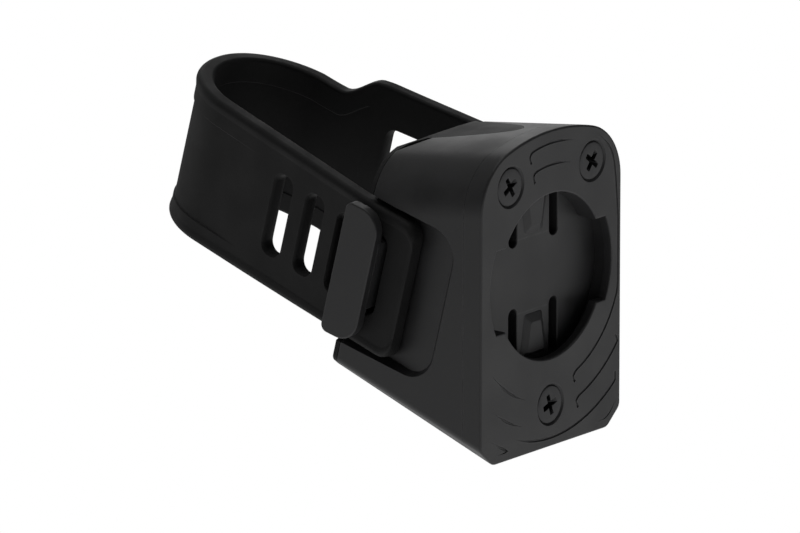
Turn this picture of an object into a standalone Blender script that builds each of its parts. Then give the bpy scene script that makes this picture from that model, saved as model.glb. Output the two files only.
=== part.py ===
"""Strap-on seatpost mount with a quarter-turn socket for a bicycle light or computer.

Two coordinate systems describe the object, both centred on the seatpost's axis:
  face frame: x right, y back from the socket face, z up from the socket's centre;
  post frame: x right, n back from the seatpost's axis, h up along that axis.
World: metres, +Z up, socket face towards -Y, origin on the seatpost's axis.
"""
import math

import bmesh
import bpy
from mathutils import Vector

MM = 0.001
GAP = 0.3 * MM

# Seatpost and the way the mount hangs on it
POST_TILT = math.radians(14.0)
FACE_AHEAD = 38.67 * MM
SOCKET_DROP = 4.46 * MM

# Housing outline, seen from the front
HALF_WIDTH = 17.3 * MM
TOP_HEIGHT = 22.9 * MM
TOP_RADIUS = 38.0 * MM
SHOULDER_RADIUS = 9.4 * MM
SIDE_BOTTOM = -24.1 * MM
BOTTOM = -26.9 * MM
BOTTOM_HALF = 14.1 * MM
TOP_FALL = -0.14
SIDE_RISE = 0.353
BOTTOM_RISE = 0.392
CHAMFER_SPREAD = 0.04
HOUSING_REAR = -15.2 * MM
REAR_LINE = ((0.0, -60.0), (0.0, 11.0), (0.2, 12.7), (0.7, 14.4), (2.2, 19.1), (3.2, 22.0), (6.0, 30.0))

# Front plate and socket
PLATE_THICK = 3.2 * MM
SOCKET_RADIUS = 12.9 * MM
NOTCH_RADIUS = 14.9 * MM
NOTCH_HALF = 6.5 * MM
LIP_THICK = 1.4 * MM
UNDERCUT_RADIUS = 15.2 * MM
UNDERCUT_START = math.radians(-116.3)
UNDERCUT_END = math.radians(24.0)

# Detent disc and its two spring fingers
DISC_FRONT = 3.5 * MM
DISC_THICK = 1.7 * MM
DISC_RADIUS = 15.4 * MM
FINGER_HALF = 3.95 * MM
FINGER_SLOT = 2.05 * MM
SLOT_START = 4.85 * MM
FINGER_ROOT = 5.8 * MM
FINGER_TIP = 13.9 * MM
RIDGE_HEIGHT = 1.2 * MM

# Screws and threaded inserts
SCREW_SPOTS = {
    "upper_left": (-10.05 * MM, 15.95 * MM),
    "upper_right": (10.05 * MM, 15.95 * MM),
    "lower": (0.0, -20.2 * MM),
}
HEAD_RADIUS = 3.0 * MM
HEAD_DEPTH = 1.65 * MM
HEAD_SUNK = 0.1 * MM
SHANK_RADIUS = 1.35 * MM
SHANK_END = 8.2 * MM
INSERT_RADIUS = 2.3 * MM
INSERT_FRONT = 4.1 * MM
INSERT_LENGTH = 4.0 * MM
BOSS_RADIUS = 3.9 * MM

# Cavity inside the housing
CAVITY_HALF = 13.0 * MM
CAVITY_TOP = 20.4 * MM
CAVITY_BOTTOM = -23.0 * MM
CAVITY_REAR = -22.6 * MM

# Saddle groove and its rubber pad
PAD_FACE_RADIUS = 15.8 * MM
PAD_THICK = 1.2 * MM
GROOVE_RADIUS = PAD_FACE_RADIUS + PAD_THICK + GAP
PAD_BAND = 0.9 * MM
REAR_SPAN = 7.0 * MM
TONGUE_DEPTH = 1.0 * MM

# Rubber strap
STRAP_THICK = 2.7 * MM
STRAP_TOP = 11.3 * MM
STRAP_BOTTOM = -11.4 * MM
LIFT_START = -12.0 * MM
LIFT_TOP = 1.4 * MM
LIFT_BOTTOM = 0.5 * MM
LOOP_CENTRE = 16.9 * MM
LOOP_RADIUS = 13.2 * MM
ARM_FLARE = math.radians(7.5)
TIP_END = -25.1 * MM
TIP_CORNER = 2.6 * MM
HEAD_EXTRA = 3.6 * MM
HEAD_DROP = 0.4
FAR_DROP = 0.7 * MM
DIP_PLACE = 12.5 * MM
DIP_REACH = 6.0 * MM
DIP_DEPTH = 0.4 * MM
HEAD_START = 14.1 * MM
HEAD_FULL = 8.0 * MM
SLOT_HALF = 1.8 * MM
SLOT_PITCH = 7.0 * MM
SLOT_FIRST = -18.3 * MM
SLOT_TOP = 7.0 * MM
SLOT_BOTTOM = -5.9 * MM
WINDOW_FRONT = -4.3 * MM
WINDOW_REAR = 4.8 * MM
WINDOW_TOP = 8.3 * MM
WINDOW_BOTTOM = -8.8 * MM

# Side recesses for the strap's ends
RECESS_GAP = 0.35 * MM
RECESS_FRONT = -32.2 * MM
RECESS_TOP = 12.1 * MM
RECESS_BOTTOM = -12.7 * MM
RECESS_CORNER = 4.6 * MM

# Hooks that hold the strap
HOOK_INNER = 18.6 * MM
HOOK_OUTER = 20.3 * MM
HOOK_FRONT = -19.5 * MM
HOOK_REAR = -12.9 * MM
HOOK_TOP = 11.1 * MM
HOOK_BOTTOM = -10.6 * MM
NECK_FRONT = -19.6 * MM
NECK_REAR = -16.9 * MM
NECK_TOP = 6.6 * MM
NECK_BOTTOM = -4.9 * MM
TENON_END = 10.4 * MM
HOOK_PIN_X = 13.05 * MM
HOOK_PIN_H = 0.85 * MM
HOOK_PIN_RADIUS = 0.9 * MM
HOOK_PIN_START = -24.4 * MM
HOOK_PIN_END = -15.6 * MM

SIN_T = math.sin(POST_TILT)
COS_T = math.cos(POST_TILT)


def face_point(x, y, z):
    """World place of a face-frame point."""
    return Vector((x, y - FACE_AHEAD, z - SOCKET_DROP))


def post_point(x, n, h):
    """World place of a post-frame point."""
    return Vector((x, n * COS_T - h * SIN_T, n * SIN_T + h * COS_T))


def finish(name, colour, roughness, metallic=0.0):
    """Principled material with one colour, roughness and metallic value."""
    material = bpy.data.materials.get(name)
    if material is None:
        material = bpy.data.materials.new(name)
        material.use_nodes = True
        shader = material.node_tree.nodes["Principled BSDF"]
        shader.inputs["Base Color"].default_value = (*colour, 1.0)
        shader.inputs["Roughness"].default_value = roughness
        shader.inputs["Metallic"].default_value = metallic
        material.diffuse_color = (*colour, 1.0)
    return material


def moulded():
    return finish("moulded_black", (0.045, 0.045, 0.047), 0.55)


def rubber():
    return finish("strap_rubber", (0.022, 0.022, 0.023), 0.7)


def blackened_steel():
    return finish("blackened_steel", (0.06, 0.06, 0.062), 0.42, 0.6)


def brass():
    return finish("insert_brass", (0.62, 0.44, 0.18), 0.35, 1.0)


def loft(name, loops, material=None):
    """Closed solid through loops of equal length, capped at both ends."""
    mesh = bpy.data.meshes.new(name)
    shape = bmesh.new()
    rings = [[shape.verts.new(point) for point in loop] for loop in loops]
    count = len(rings[0])
    for near, far in zip(rings, rings[1:]):
        for i in range(count):
            j = (i + 1) % count
            shape.faces.new((near[i], near[j], far[j], far[i]))
    shape.faces.new(rings[0][::-1])
    shape.faces.new(rings[-1])
    bmesh.ops.recalc_face_normals(shape, faces=shape.faces)
    shape.to_mesh(mesh)
    shape.free()
    body = bpy.data.objects.new(name, mesh)
    bpy.context.scene.collection.objects.link(body)
    if material is not None:
        mesh.materials.append(material)
    return body


def cutter(name, loops):
    """Hidden solid that another body is cut by or joined with."""
    body = loft(name, loops)
    body.hide_render = True
    body.display_type = "WIRE"
    return body


def combine(body, tool, operation):
    """Boolean of a body with a hidden tool."""
    modifier = body.modifiers.new(operation.lower(), "BOOLEAN")
    modifier.operation = operation
    modifier.solver = "EXACT"
    modifier.object = tool


def cut(body, tool):
    combine(body, tool, "DIFFERENCE")


def add(body, tool):
    combine(body, tool, "UNION")


def keep(body, tool):
    combine(body, tool, "INTERSECT")


def arc(centre_a, centre_b, radius, start, end, steps):
    """Points of an arc in a plane, from the start angle to the end angle."""
    angles = [start + (end - start) * i / steps for i in range(steps + 1)]
    return [(centre_a + radius * math.cos(t), centre_b + radius * math.sin(t)) for t in angles]


def rounded_box(left, right, low, high, radii, steps=5):
    """Rounded rectangle; radii are for the corners right-low, right-high, left-high, left-low."""
    corners = [
        (right, low, -1, 1, radii[0], -math.pi / 2),
        (right, high, -1, -1, radii[1], 0.0),
        (left, high, 1, -1, radii[2], math.pi / 2),
        (left, low, 1, 1, radii[3], math.pi),
    ]
    points = []
    for a, b, side_a, side_b, radius, start in corners:
        points += arc(a + side_a * radius, b + side_b * radius, radius, start, start + math.pi / 2, steps)
    return points


def smooth(body, limit=30.0):
    """Smooth shading with sharp edges past a limit angle."""
    body.data.shade_smooth()
    body.data.set_sharp_from_angle(angle=math.radians(limit))


def hang(body, name, place):
    """Parent a moving body to an empty on its joint's axis."""
    pivot = bpy.data.objects.new(name, None)
    pivot.location = place
    bpy.context.scene.collection.objects.link(pivot)
    body.parent = pivot
    body.matrix_parent_inverse.translation = -pivot.location


def outline(inset=0.0):
    """Front outline of the housing, moved inwards by an inset, as (x, z) with its fall per depth."""
    half = HALF_WIDTH - inset
    corner = SHOULDER_RADIUS - inset
    top = TOP_RADIUS - inset
    centre_x = half - corner
    top_centre = TOP_HEIGHT - TOP_RADIUS
    centre_z = top_centre + math.sqrt((top - corner) ** 2 - centre_x**2)
    turn = math.atan2(centre_z - top_centre, centre_x)
    low_side = SIDE_BOTTOM + 0.4 * inset
    points = [(BOTTOM_HALF - 0.4 * inset, BOTTOM + inset, BOTTOM_RISE)]
    points.append((half, low_side, SIDE_RISE))
    crown = arc(centre_x, centre_z, corner, 0.0, turn, 7)
    crown += arc(0.0, top_centre, top, turn, math.pi - turn, 12)[1:-1]
    crown += arc(-centre_x, centre_z, corner, math.pi - turn, math.pi, 7)
    points += [(x, z, TOP_FALL) for x, z in crown]
    points.append((-half, low_side, SIDE_RISE))
    points.append((-BOTTOM_HALF + 0.4 * inset, BOTTOM + inset, BOTTOM_RISE))
    return points


def spread(x, rise, y):
    """Width of the bottom chamfer shrinks towards the rear."""
    if rise != BOTTOM_RISE:
        return x
    return x + math.copysign(CHAMFER_SPREAD * y, x)


def section_at_depth(points, y):
    """Loop of an outline at a depth behind the socket face."""
    return [face_point(spread(x, rise, y), y, z + rise * y) for x, z, rise in points]


def section_at_post(points, n):
    """Loop of an outline on a plane along the seatpost, n behind its axis."""
    loop = []
    for x, z, rise in points:
        reach = n + FACE_AHEAD * COS_T - (z - SOCKET_DROP) * SIN_T
        y = reach / (COS_T + rise * SIN_T)
        loop.append(face_point(spread(x, rise, y), y, z + rise * y))
    return loop


def rear_limit(name, back):
    """Hidden prism ahead of the housing's bent rear face, moved back by a distance."""
    line = [(HOUSING_REAR + back + n * MM, h * MM) for n, h in REAR_LINE]
    points = [(-60 * MM, -60 * MM)] + line + [(-60 * MM, 30 * MM)]
    return post_prism(name, points, -40 * MM, 40 * MM)


def round_loop(radius, place, steps):
    """Circle of points put in the world by a placing function of (a, b)."""
    angles = [2 * math.pi * i / steps for i in range(steps)]
    return [place(radius * math.cos(t), radius * math.sin(t)) for t in angles]


def face_turned(name, x, z, rings, steps=24, material=None):
    """Turned body on an axis through the face at (x, z); rings are (radius, depth)."""
    loops = [round_loop(r, lambda a, b, d=depth: face_point(x + a, d, z + b), steps) for r, depth in rings]
    if material is None:
        return cutter(name, loops)
    return loft(name, loops, material)


def face_prism(name, points, front, back):
    """Hidden prism of a face-frame outline between two depths."""
    return cutter(name, [[face_point(x, depth, z) for x, z in points] for depth in (front, back)])


def post_prism(name, points, x_start, x_end):
    """Hidden prism of an (n, h) outline between two x places."""
    return cutter(name, [[post_point(x, n, h) for n, h in points] for x in (x_start, x_end)])


def post_cylinder(name, radius, reach, steps=96):
    """Hidden cylinder on the seatpost's axis."""
    loops = [round_loop(radius, lambda a, b, h=h: post_point(a, b, h), steps) for h in (-reach, reach)]
    return cutter(name, loops)


def tongue_outline(margin=0.0):
    """Plan of the pad's tongue on the housing's top, as (x, y) pairs from right to left."""
    right = []
    steps = 12
    front = 4.4 * MM - margin
    for i in range(steps + 1):
        depth = 14.6 * MM * (i / steps) ** 2
        right.append((6.2 * MM * math.sqrt(depth / (14.6 * MM)) + margin * (i > 0), front + depth))
    right.append((8.3 * MM + margin, 20.6 * MM - margin))
    right.append((12.0 * MM + margin, 21.8 * MM - margin))
    right.append((12.0 * MM + margin, 27.0 * MM))
    return right[::-1] + [(-x, y) for x, y in right[1:]]


def tongue_prism(name, margin):
    points = tongue_outline(margin)
    return cutter(name, [[face_point(x, y, z) for x, y in points] for z in (8.0 * MM, 30.0 * MM)])


def arm_outer(n):
    """Half-width of the strap's outer face at n, along the flared arms."""
    start = LOOP_CENTRE + LOOP_RADIUS * math.sin(ARM_FLARE)
    return LOOP_RADIUS * math.cos(ARM_FLARE) + (start - n) * math.tan(ARM_FLARE)


def recess(side, name):
    """Slanted recess in the housing's side, open to the rear."""
    extra = 0.0 if side < 0 else HEAD_EXTRA
    radii = (0.5 * MM, 0.5 * MM, RECESS_CORNER, RECESS_CORNER)
    low = RECESS_BOTTOM if side < 0 else RECESS_BOTTOM - HEAD_DROP * extra - FAR_DROP
    points = rounded_box(RECESS_FRONT, 0.0, low, RECESS_TOP + extra, radii)
    depth = STRAP_THICK / math.cos(ARM_FLARE) + RECESS_GAP
    floor = [post_point(side * (arm_outer(n) - depth), n, h) for n, h in points]
    mouth = [post_point(side * 30 * MM, n, h) for n, h in points]
    return cutter(name, [floor, mouth])


def cavity():
    """Inner hollow, with the screw bosses left standing."""
    half = CAVITY_HALF
    crown = arc(half - 4 * MM, 13.0 * MM, 4 * MM, 0.0, math.radians(65), 5)
    crown += [(0.0, CAVITY_TOP)]
    crown += [(-x, z) for x, z in crown[-2::-1]]
    points = [(half, CAVITY_BOTTOM, BOTTOM_RISE)]
    points += [(x, z, TOP_FALL) for x, z in crown]
    points.append((-half, CAVITY_BOTTOM, BOTTOM_RISE))
    loops = [section_at_depth(points, 3.0 * MM), section_at_post(points, CAVITY_REAR)]
    hollow = cutter("cavity_tool", loops)
    for spot, (x, z) in SCREW_SPOTS.items():
        cut(hollow, face_turned("boss_tool_" + spot, x, z, [(BOSS_RADIUS, 2 * MM), (BOSS_RADIUS, 25 * MM)]))
    return hollow


def build_housing():
    front = PLATE_THICK + GAP
    loops = [section_at_depth(outline(), front), section_at_post(outline(), HOUSING_REAR + REAR_SPAN)]
    body = loft("housing", loops, moulded())
    keep(body, rear_limit("housing_rear_tool", 0.0))
    cut(body, cavity())
    disc_seat = [(DISC_RADIUS + GAP, 2 * MM), (DISC_RADIUS + GAP, DISC_FRONT + DISC_THICK + GAP)]
    cut(body, face_turned("disc_seat_tool", 0, 0, disc_seat, 72))
    for spot, (x, z) in SCREW_SPOTS.items():
        bore = [(INSERT_RADIUS + GAP, 2 * MM), (INSERT_RADIUS + GAP, SHANK_END + 0.8 * MM)]
        cut(body, face_turned("insert_bore_" + spot, x, z, bore))
    cut(body, post_cylinder("groove_tool", GROOVE_RADIUS, 45 * MM))
    for side, word in ((-1, "left"), (1, "right")):
        cut(body, recess(side, "recess_tool_" + word))
        cut(body, tenon_prism(side, "mortise_tool_" + word, GAP))
        cut(body, pin_bore(side, "pin_bore_tool_" + word))
    inlay = cutter("inlay_tool", [section_at_depth(outline(-1 * MM), 3.7 * MM),
                                  section_at_post(outline(-1 * MM), 0.0)])
    cut(inlay, cutter("inlay_core", [section_at_depth(outline(TONGUE_DEPTH + GAP), 1 * MM),
                                     section_at_post(outline(TONGUE_DEPTH + GAP), 5 * MM)]))
    keep(inlay, tongue_prism("inlay_plan", GAP))
    cut(body, inlay)
    smooth(body)


def undercut_sector(name, start):
    """Sector under the plate's lip where a tab turns."""
    end = start + UNDERCUT_END - UNDERCUT_START
    points = [(0.0, 0.0)] + arc(0, 0, UNDERCUT_RADIUS, start, end, 28)
    return face_prism(name, points, LIP_THICK, PLATE_THICK + 1 * MM)


def build_front_plate():
    body = loft("front_plate", [section_at_depth(outline(), 0.0), section_at_depth(outline(), PLATE_THICK)],
                moulded())
    through = [(SOCKET_RADIUS, -1 * MM), (SOCKET_RADIUS, PLATE_THICK + 1 * MM)]
    cut(body, face_turned("socket_tool", 0, 0, through, 72))
    notch = arc(0, 0, NOTCH_RADIUS, -math.asin(NOTCH_HALF / NOTCH_RADIUS),
                math.asin(NOTCH_HALF / NOTCH_RADIUS), 10)
    points = notch + [(-x, -z) for x, z in notch]
    cut(body, face_prism("notch_tool", points, -1 * MM, PLATE_THICK + 1 * MM))
    cut(body, undercut_sector("undercut_tool_a", UNDERCUT_START))
    cut(body, undercut_sector("undercut_tool_b", UNDERCUT_START + math.pi))
    for spot, (x, z) in SCREW_SPOTS.items():
        sink = [(HEAD_RADIUS + GAP, -1 * MM), (HEAD_RADIUS + GAP, HEAD_SUNK),
                (SHANK_RADIUS + GAP, HEAD_DEPTH + HEAD_SUNK), (SHANK_RADIUS + GAP, PLATE_THICK + 1 * MM)]
        cut(body, face_turned("countersink_" + spot, x, z, sink, 36))
    smooth(body)


def build_socket_disc():
    rings = [(DISC_RADIUS, DISC_FRONT), (DISC_RADIUS, DISC_FRONT + DISC_THICK)]
    body = face_turned("socket_disc", 0, 0, rings, 72, moulded())
    back = DISC_FRONT + DISC_THICK + 1 * MM
    outer = FINGER_HALF + FINGER_SLOT
    far = FINGER_TIP + GAP
    for sign in (-1, 1):
        for side in (-1, 1):
            near_x, far_x = sorted((side * FINGER_HALF, side * outer))
            low, high = sorted((sign * SLOT_START, sign * far))
            radius = FINGER_SLOT / 2 - 0.01 * MM
            points = rounded_box(near_x, far_x, low, high, (radius,) * 4)
            cut(body, face_prism(f"finger_slot_{sign}_{side}", points, DISC_FRONT - 1 * MM, back))
        low, high = sorted((sign * (FINGER_ROOT - GAP), sign * far))
        points = rounded_box(-FINGER_HALF - 0.8 * MM, FINGER_HALF + 0.8 * MM, low, high, (0.2 * MM,) * 4, 2)
        cut(body, face_prism(f"finger_gap_{sign}", points, DISC_FRONT - 1 * MM, back))
    smooth(body)


def build_detent_finger(word, sign):
    low, high = sorted((sign * FINGER_ROOT, sign * FINGER_TIP))
    points = rounded_box(-FINGER_HALF, FINGER_HALF, low, high, (0.4 * MM,) * 4, 3)
    loops = [[face_point(x, depth, z) for x, z in points] for depth in (DISC_FRONT, DISC_FRONT + DISC_THICK)]
    body = loft("detent_finger_" + word, loops, moulded())
    base = [(-2.0, 6.4), (2.0, 6.4), (3.2, 12.9), (-3.2, 12.9)]
    crest = [(-1.2, 7.5), (1.2, 7.5), (2.1, 12.3), (-2.1, 12.3)]
    levels = ((base, DISC_FRONT + 0.5 * MM), (base, DISC_FRONT), (crest, DISC_FRONT - RIDGE_HEIGHT))
    ridge = [[face_point(a * MM, depth, sign * b * MM) for a, b in shape] for shape, depth in levels]
    add(body, cutter("detent_ridge_" + word, ridge))
    hang(body, "finger_pivot_" + word, face_point(0, DISC_FRONT + DISC_THICK / 2, sign * FINGER_ROOT))


def build_face_screw(spot, x, z):
    rings = [(HEAD_RADIUS, HEAD_SUNK), (SHANK_RADIUS, HEAD_SUNK + HEAD_DEPTH), (SHANK_RADIUS, SHANK_END)]
    body = face_turned("face_screw_" + spot, x, z, rings, 32, blackened_steel())
    for turn in (30.0, 120.0):
        angle = math.radians(turn)
        along = Vector((math.cos(angle), math.sin(angle)))
        across = Vector((-along.y, along.x))
        loops = []
        for half, width, depth in ((1.75, 0.42, -0.5), (1.6, 0.38, 0.1), (0.7, 0.3, 1.3)):
            signs = ((1, 1), (-1, 1), (-1, -1), (1, -1))
            corners = [along * a * half + across * b * width for a, b in signs]
            loops.append([face_point(x + c.x * MM, depth * MM, z + c.y * MM) for c in corners])
        cut(body, cutter(f"recess_arm_{spot}_{int(turn)}", loops))
    smooth(body)


def build_threaded_insert(spot, x, z):
    back = INSERT_FRONT + INSERT_LENGTH
    rings = [(INSERT_RADIUS, INSERT_FRONT), (INSERT_RADIUS, back)]
    body = face_turned("threaded_insert_" + spot, x, z, rings, 24, brass())
    bore = [(SHANK_RADIUS + GAP, INSERT_FRONT - 1 * MM), (SHANK_RADIUS + GAP, back + 1 * MM)]
    cut(body, face_turned("insert_hole_" + spot, x, z, bore, 24))
    smooth(body)


def build_saddle_pad():
    shell = outline()
    far = HOUSING_REAR + REAR_SPAN
    body = loft("saddle_pad", [section_at_post(shell, -22 * MM), section_at_post(shell, far)], rubber())
    cut(body, rear_limit("pad_front_tool", GAP))
    lining = post_cylinder("lining_tool", PAD_FACE_RADIUS + PAD_THICK, 40 * MM)
    inner = outline(0.4 * MM)
    keep(lining, cutter("lining_bounds", [section_at_post(inner, -22 * MM), section_at_post(inner, far)]))
    add(body, lining)
    tongue = cutter("tongue_tool", [section_at_depth(shell, 4.0 * MM), section_at_post(shell, far)])
    core = cutter("tongue_core", [section_at_depth(outline(TONGUE_DEPTH), 1 * MM),
                                  section_at_post(outline(TONGUE_DEPTH), far + 1 * MM)])
    keep(core, rear_limit("tongue_core_rear", GAP + 0.1 * MM))
    cut(tongue, core)
    keep(tongue, tongue_prism("tongue_plan", 0.0))
    add(body, tongue)
    keep(body, rear_limit("pad_rear_tool", PAD_BAND))
    cut(body, post_cylinder("post_clearance", PAD_FACE_RADIUS, 45 * MM))
    for side, word in ((-1, "left"), (1, "right")):
        cut(body, recess(side, "pad_recess_" + word))
    smooth(body)


def tenon_prism(side, name, margin=0.0):
    points = rounded_box(NECK_FRONT - margin, NECK_REAR + margin, NECK_BOTTOM - margin, NECK_TOP + margin,
                         (0.6 * MM,) * 4, 3)
    return post_prism(name, points, side * (TENON_END - margin), side * (HOOK_INNER + 0.5 * MM))


def hook_pin_loops(side, radius, start, end):
    """Loops of a cylinder along n through the hook's tenon."""
    loops = []
    for n in (start, end):
        place = lambda a, b, n=n: post_point(side * HOOK_PIN_X + a, n, HOOK_PIN_H + b)
        loops.append(round_loop(radius, place, 20))
    return loops


def pin_bore(side, name):
    """Hole for the hook's cross pin, open to the rear."""
    return cutter(name, hook_pin_loops(side, HOOK_PIN_RADIUS + GAP, HOOK_PIN_START - 0.4 * MM, 0.0))


def build_hook(name, side):
    radii = (1.2 * MM, 1.2 * MM, 3.6 * MM, 3.6 * MM)
    points = rounded_box(HOOK_FRONT, HOOK_REAR, HOOK_BOTTOM, HOOK_TOP, radii)
    loops = [[post_point(side * x, n, h) for n, h in points] for x in (HOOK_INNER, HOOK_OUTER)]
    body = loft(name, loops, moulded())
    add(body, tenon_prism(side, name + "_tenon"))
    cut(body, pin_bore(side, name + "_pin_hole"))
    smooth(body)


def build_hook_pin(name, side):
    loops = hook_pin_loops(side, HOOK_PIN_RADIUS, HOOK_PIN_START, HOOK_PIN_END)
    smooth(loft(name, loops, blackened_steel()))


def strap_stations(side, tip, arc_steps, arm_steps):
    """Outer line of one half of the strap from the apex to its tip, as (x, n, normal x, normal n)."""
    stations = []
    first = GAP / 2 / LOOP_RADIUS if side < 0 else -GAP / 2 / LOOP_RADIUS
    for i in range(arc_steps + 1):
        angle = math.pi / 2 - abs(first) - (math.pi / 2 - abs(first) - ARM_FLARE) * i / arc_steps
        x = LOOP_RADIUS * math.cos(angle)
        n = LOOP_CENTRE + LOOP_RADIUS * math.sin(angle)
        stations.append((side * x, n, side * math.cos(angle), math.sin(angle)))
    start = stations[-1][1]
    for i in range(1, arm_steps + 1):
        n = start + (tip - start) * i / arm_steps
        stations.append((side * arm_outer(n), n, side * math.cos(ARM_FLARE), math.sin(ARM_FLARE)))
    return stations


def strap_band(n, side, tip):
    """Low and high edges of the strap at a station, with rounded tip corners and the wide head."""
    extra = 0.0
    if side > 0:
        share = min(1.0, max(0.0, (HEAD_START - n) / (HEAD_START - HEAD_FULL)))
        extra = HEAD_EXTRA * share * share * (3 - 2 * share)
    inside = max(0.0, TIP_CORNER - (n - tip))
    shrink = TIP_CORNER - math.sqrt(max(0.0, TIP_CORNER**2 - inside**2))
    lift = max(0.0, (n - LIFT_START) / (LOOP_CENTRE + LOOP_RADIUS - LIFT_START))
    if side < 0:
        low = STRAP_BOTTOM + LIFT_BOTTOM * lift**2
        return low + shrink, STRAP_TOP + LIFT_TOP * lift - shrink
    dip = DIP_DEPTH * math.cos(math.pi / 2 * min(1.0, abs(n - DIP_PLACE) / DIP_REACH))
    low = STRAP_BOTTOM - HEAD_DROP * extra - FAR_DROP + (LIFT_BOTTOM + FAR_DROP) * lift**6
    return low + shrink, STRAP_TOP + extra + LIFT_TOP * lift**4 - dip - shrink


def strap_section(x, n, normal_x, normal_n, low, high):
    """Closed section of the strap: a flat band with rounded edges."""
    bevel = 0.7 * MM
    levels = [(0.0, low + bevel), (bevel * 0.3, low + bevel * 0.3), (bevel, low)]
    levels += [(STRAP_THICK - bevel, low), (STRAP_THICK - bevel * 0.3, low + bevel * 0.3),
               (STRAP_THICK, low + bevel)]
    levels += [(inward, high + low - h) for inward, h in levels[::-1]]
    return [post_point(x - normal_x * inward, n - normal_n * inward, h) for inward, h in levels]


def strap_half(name, side, tip, arm_steps):
    tip_stops = 6
    stations = strap_stations(side, tip + TIP_CORNER, 16, arm_steps)
    for i in range(1, tip_stops + 1):
        n = tip + TIP_CORNER * (1 - math.sin(math.pi / 2 * i / tip_stops))
        stations.append((side * arm_outer(n), n, side * math.cos(ARM_FLARE), math.sin(ARM_FLARE)))
    loops = [strap_section(x, n, a, b, *strap_band(n, side, tip)) for x, n, a, b in stations]
    body = loft(name, loops, rubber())
    smooth(body, 40.0)
    return body


def strap_hole(name, side, rear, front, low, high, radius):
    points = rounded_box(front, rear, low, high, (radius,) * 4, 4)
    return post_prism(name, points, side * 8 * MM, side * 24 * MM)


def build_strap_free_end():
    body = strap_half("strap_free_end", -1, TIP_END, 3)
    for i in range(4):
        centre = SLOT_FIRST + i * SLOT_PITCH
        cut(body, strap_hole(f"strap_slot_{i + 1}", -1, centre + SLOT_HALF, centre - SLOT_HALF, SLOT_BOTTOM,
                             SLOT_TOP, SLOT_HALF - 0.3 * MM))
    hang(body, "strap_bend_pivot", post_point(0.0, LOOP_CENTRE + LOOP_RADIUS - STRAP_THICK / 2, 0.0))


def build_strap_loop():
    body = strap_half("strap_loop", 1, TIP_END, 22)
    centre = SLOT_FIRST
    cut(body, strap_hole("anchor_slot", 1, centre + SLOT_HALF, centre - SLOT_HALF, SLOT_BOTTOM, SLOT_TOP,
                         SLOT_HALF - 0.3 * MM))
    cut(body, strap_hole("loop_window", 1, WINDOW_REAR, WINDOW_FRONT, WINDOW_BOTTOM, WINDOW_TOP, 1.4 * MM))


def main():
    for old in list(bpy.data.objects):
        bpy.data.objects.remove(old)
    build_housing()
    build_front_plate()
    build_socket_disc()
    build_detent_finger("upper", 1)
    build_detent_finger("lower", -1)
    for spot, (x, z) in SCREW_SPOTS.items():
        build_face_screw(spot, x, z)
        build_threaded_insert(spot, x, z)
    build_saddle_pad()
    build_hook("strap_hook", -1)
    build_hook("anchor_hook", 1)
    build_hook_pin("hook_pin_left", -1)
    build_hook_pin("hook_pin_right", 1)
    build_strap_loop()
    build_strap_free_end()


main()
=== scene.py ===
"""Visual model of a strap-on seatpost mount with a bayonet socket.

The frame's CAD bodies carry the moulded shell, the socket and the rubber strap built here.
Lengths in the size fields are millimetres; points handed to Blender are metres.

Two coordinate systems describe the object:
  face frame: x right, y back from the socket face, z up from the socket's centre;
  post frame: x right, n back from the seatpost's axis, h up along that axis.
"""
import logging
import math
from dataclasses import dataclass, field
from enum import Enum
from typing import Callable, Optional, Sequence

import bmesh
import bpy
from mathutils import Matrix, Vector
from mathutils.kdtree import KDTree


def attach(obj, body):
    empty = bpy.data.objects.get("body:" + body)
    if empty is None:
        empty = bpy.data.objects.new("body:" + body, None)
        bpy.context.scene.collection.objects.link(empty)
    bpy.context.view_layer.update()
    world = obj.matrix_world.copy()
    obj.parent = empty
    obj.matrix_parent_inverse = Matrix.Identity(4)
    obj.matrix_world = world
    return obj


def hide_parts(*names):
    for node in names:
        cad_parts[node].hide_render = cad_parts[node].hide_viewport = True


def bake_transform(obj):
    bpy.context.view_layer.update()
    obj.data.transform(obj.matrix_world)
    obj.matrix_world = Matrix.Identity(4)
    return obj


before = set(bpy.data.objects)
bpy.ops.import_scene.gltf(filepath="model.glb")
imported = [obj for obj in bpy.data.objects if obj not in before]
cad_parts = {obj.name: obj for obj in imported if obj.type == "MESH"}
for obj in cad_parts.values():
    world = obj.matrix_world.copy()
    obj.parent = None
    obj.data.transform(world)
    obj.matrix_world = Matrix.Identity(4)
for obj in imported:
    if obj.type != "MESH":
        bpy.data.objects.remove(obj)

LOG = logging.getLogger("seatpost_mount")
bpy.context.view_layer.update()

MM = 0.001
POST_TILT = math.radians(14.0)
SIN_T = math.sin(POST_TILT)
COS_T = math.cos(POST_TILT)
FACE_AHEAD = 38.67
SOCKET_DROP = 4.46

Ring = list[Vector]
Pair = tuple[float, float]


class Join(Enum):
    """How a tool body changes another body."""

    CUT = "DIFFERENCE"
    ADD = "UNION"
    KEEP = "INTERSECT"


class Body(Enum):
    """CAD bodies of the frame; the pieces here ride only on the mount's."""

    MOUNT = "mount_body"
    UPPER_FINGER = "upper_finger"
    LOWER_FINGER = "lower_finger"
    STRAP_ARM = "strap_arm"


class Slot(Enum):
    """Material slots of the record."""

    PLASTIC = "moulded_black"
    RUBBER = "strap_rubber"
    STEEL = "blackened_steel"
    BRASS = "insert_brass"


class Side(Enum):
    """Side of the object, as the sign of x."""

    LEFT = -1
    RIGHT = 1


def face_point(x: float, y: float, z: float) -> Vector:
    """Place a face-frame point.

    Args:
        x: Millimetres to the right of the socket's centre.
        y: Millimetres behind the socket face.
        z: Millimetres above the socket's centre.

    Returns:
        The point in metres.
    """
    return Vector((x, y - FACE_AHEAD, z - SOCKET_DROP)) * MM


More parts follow.
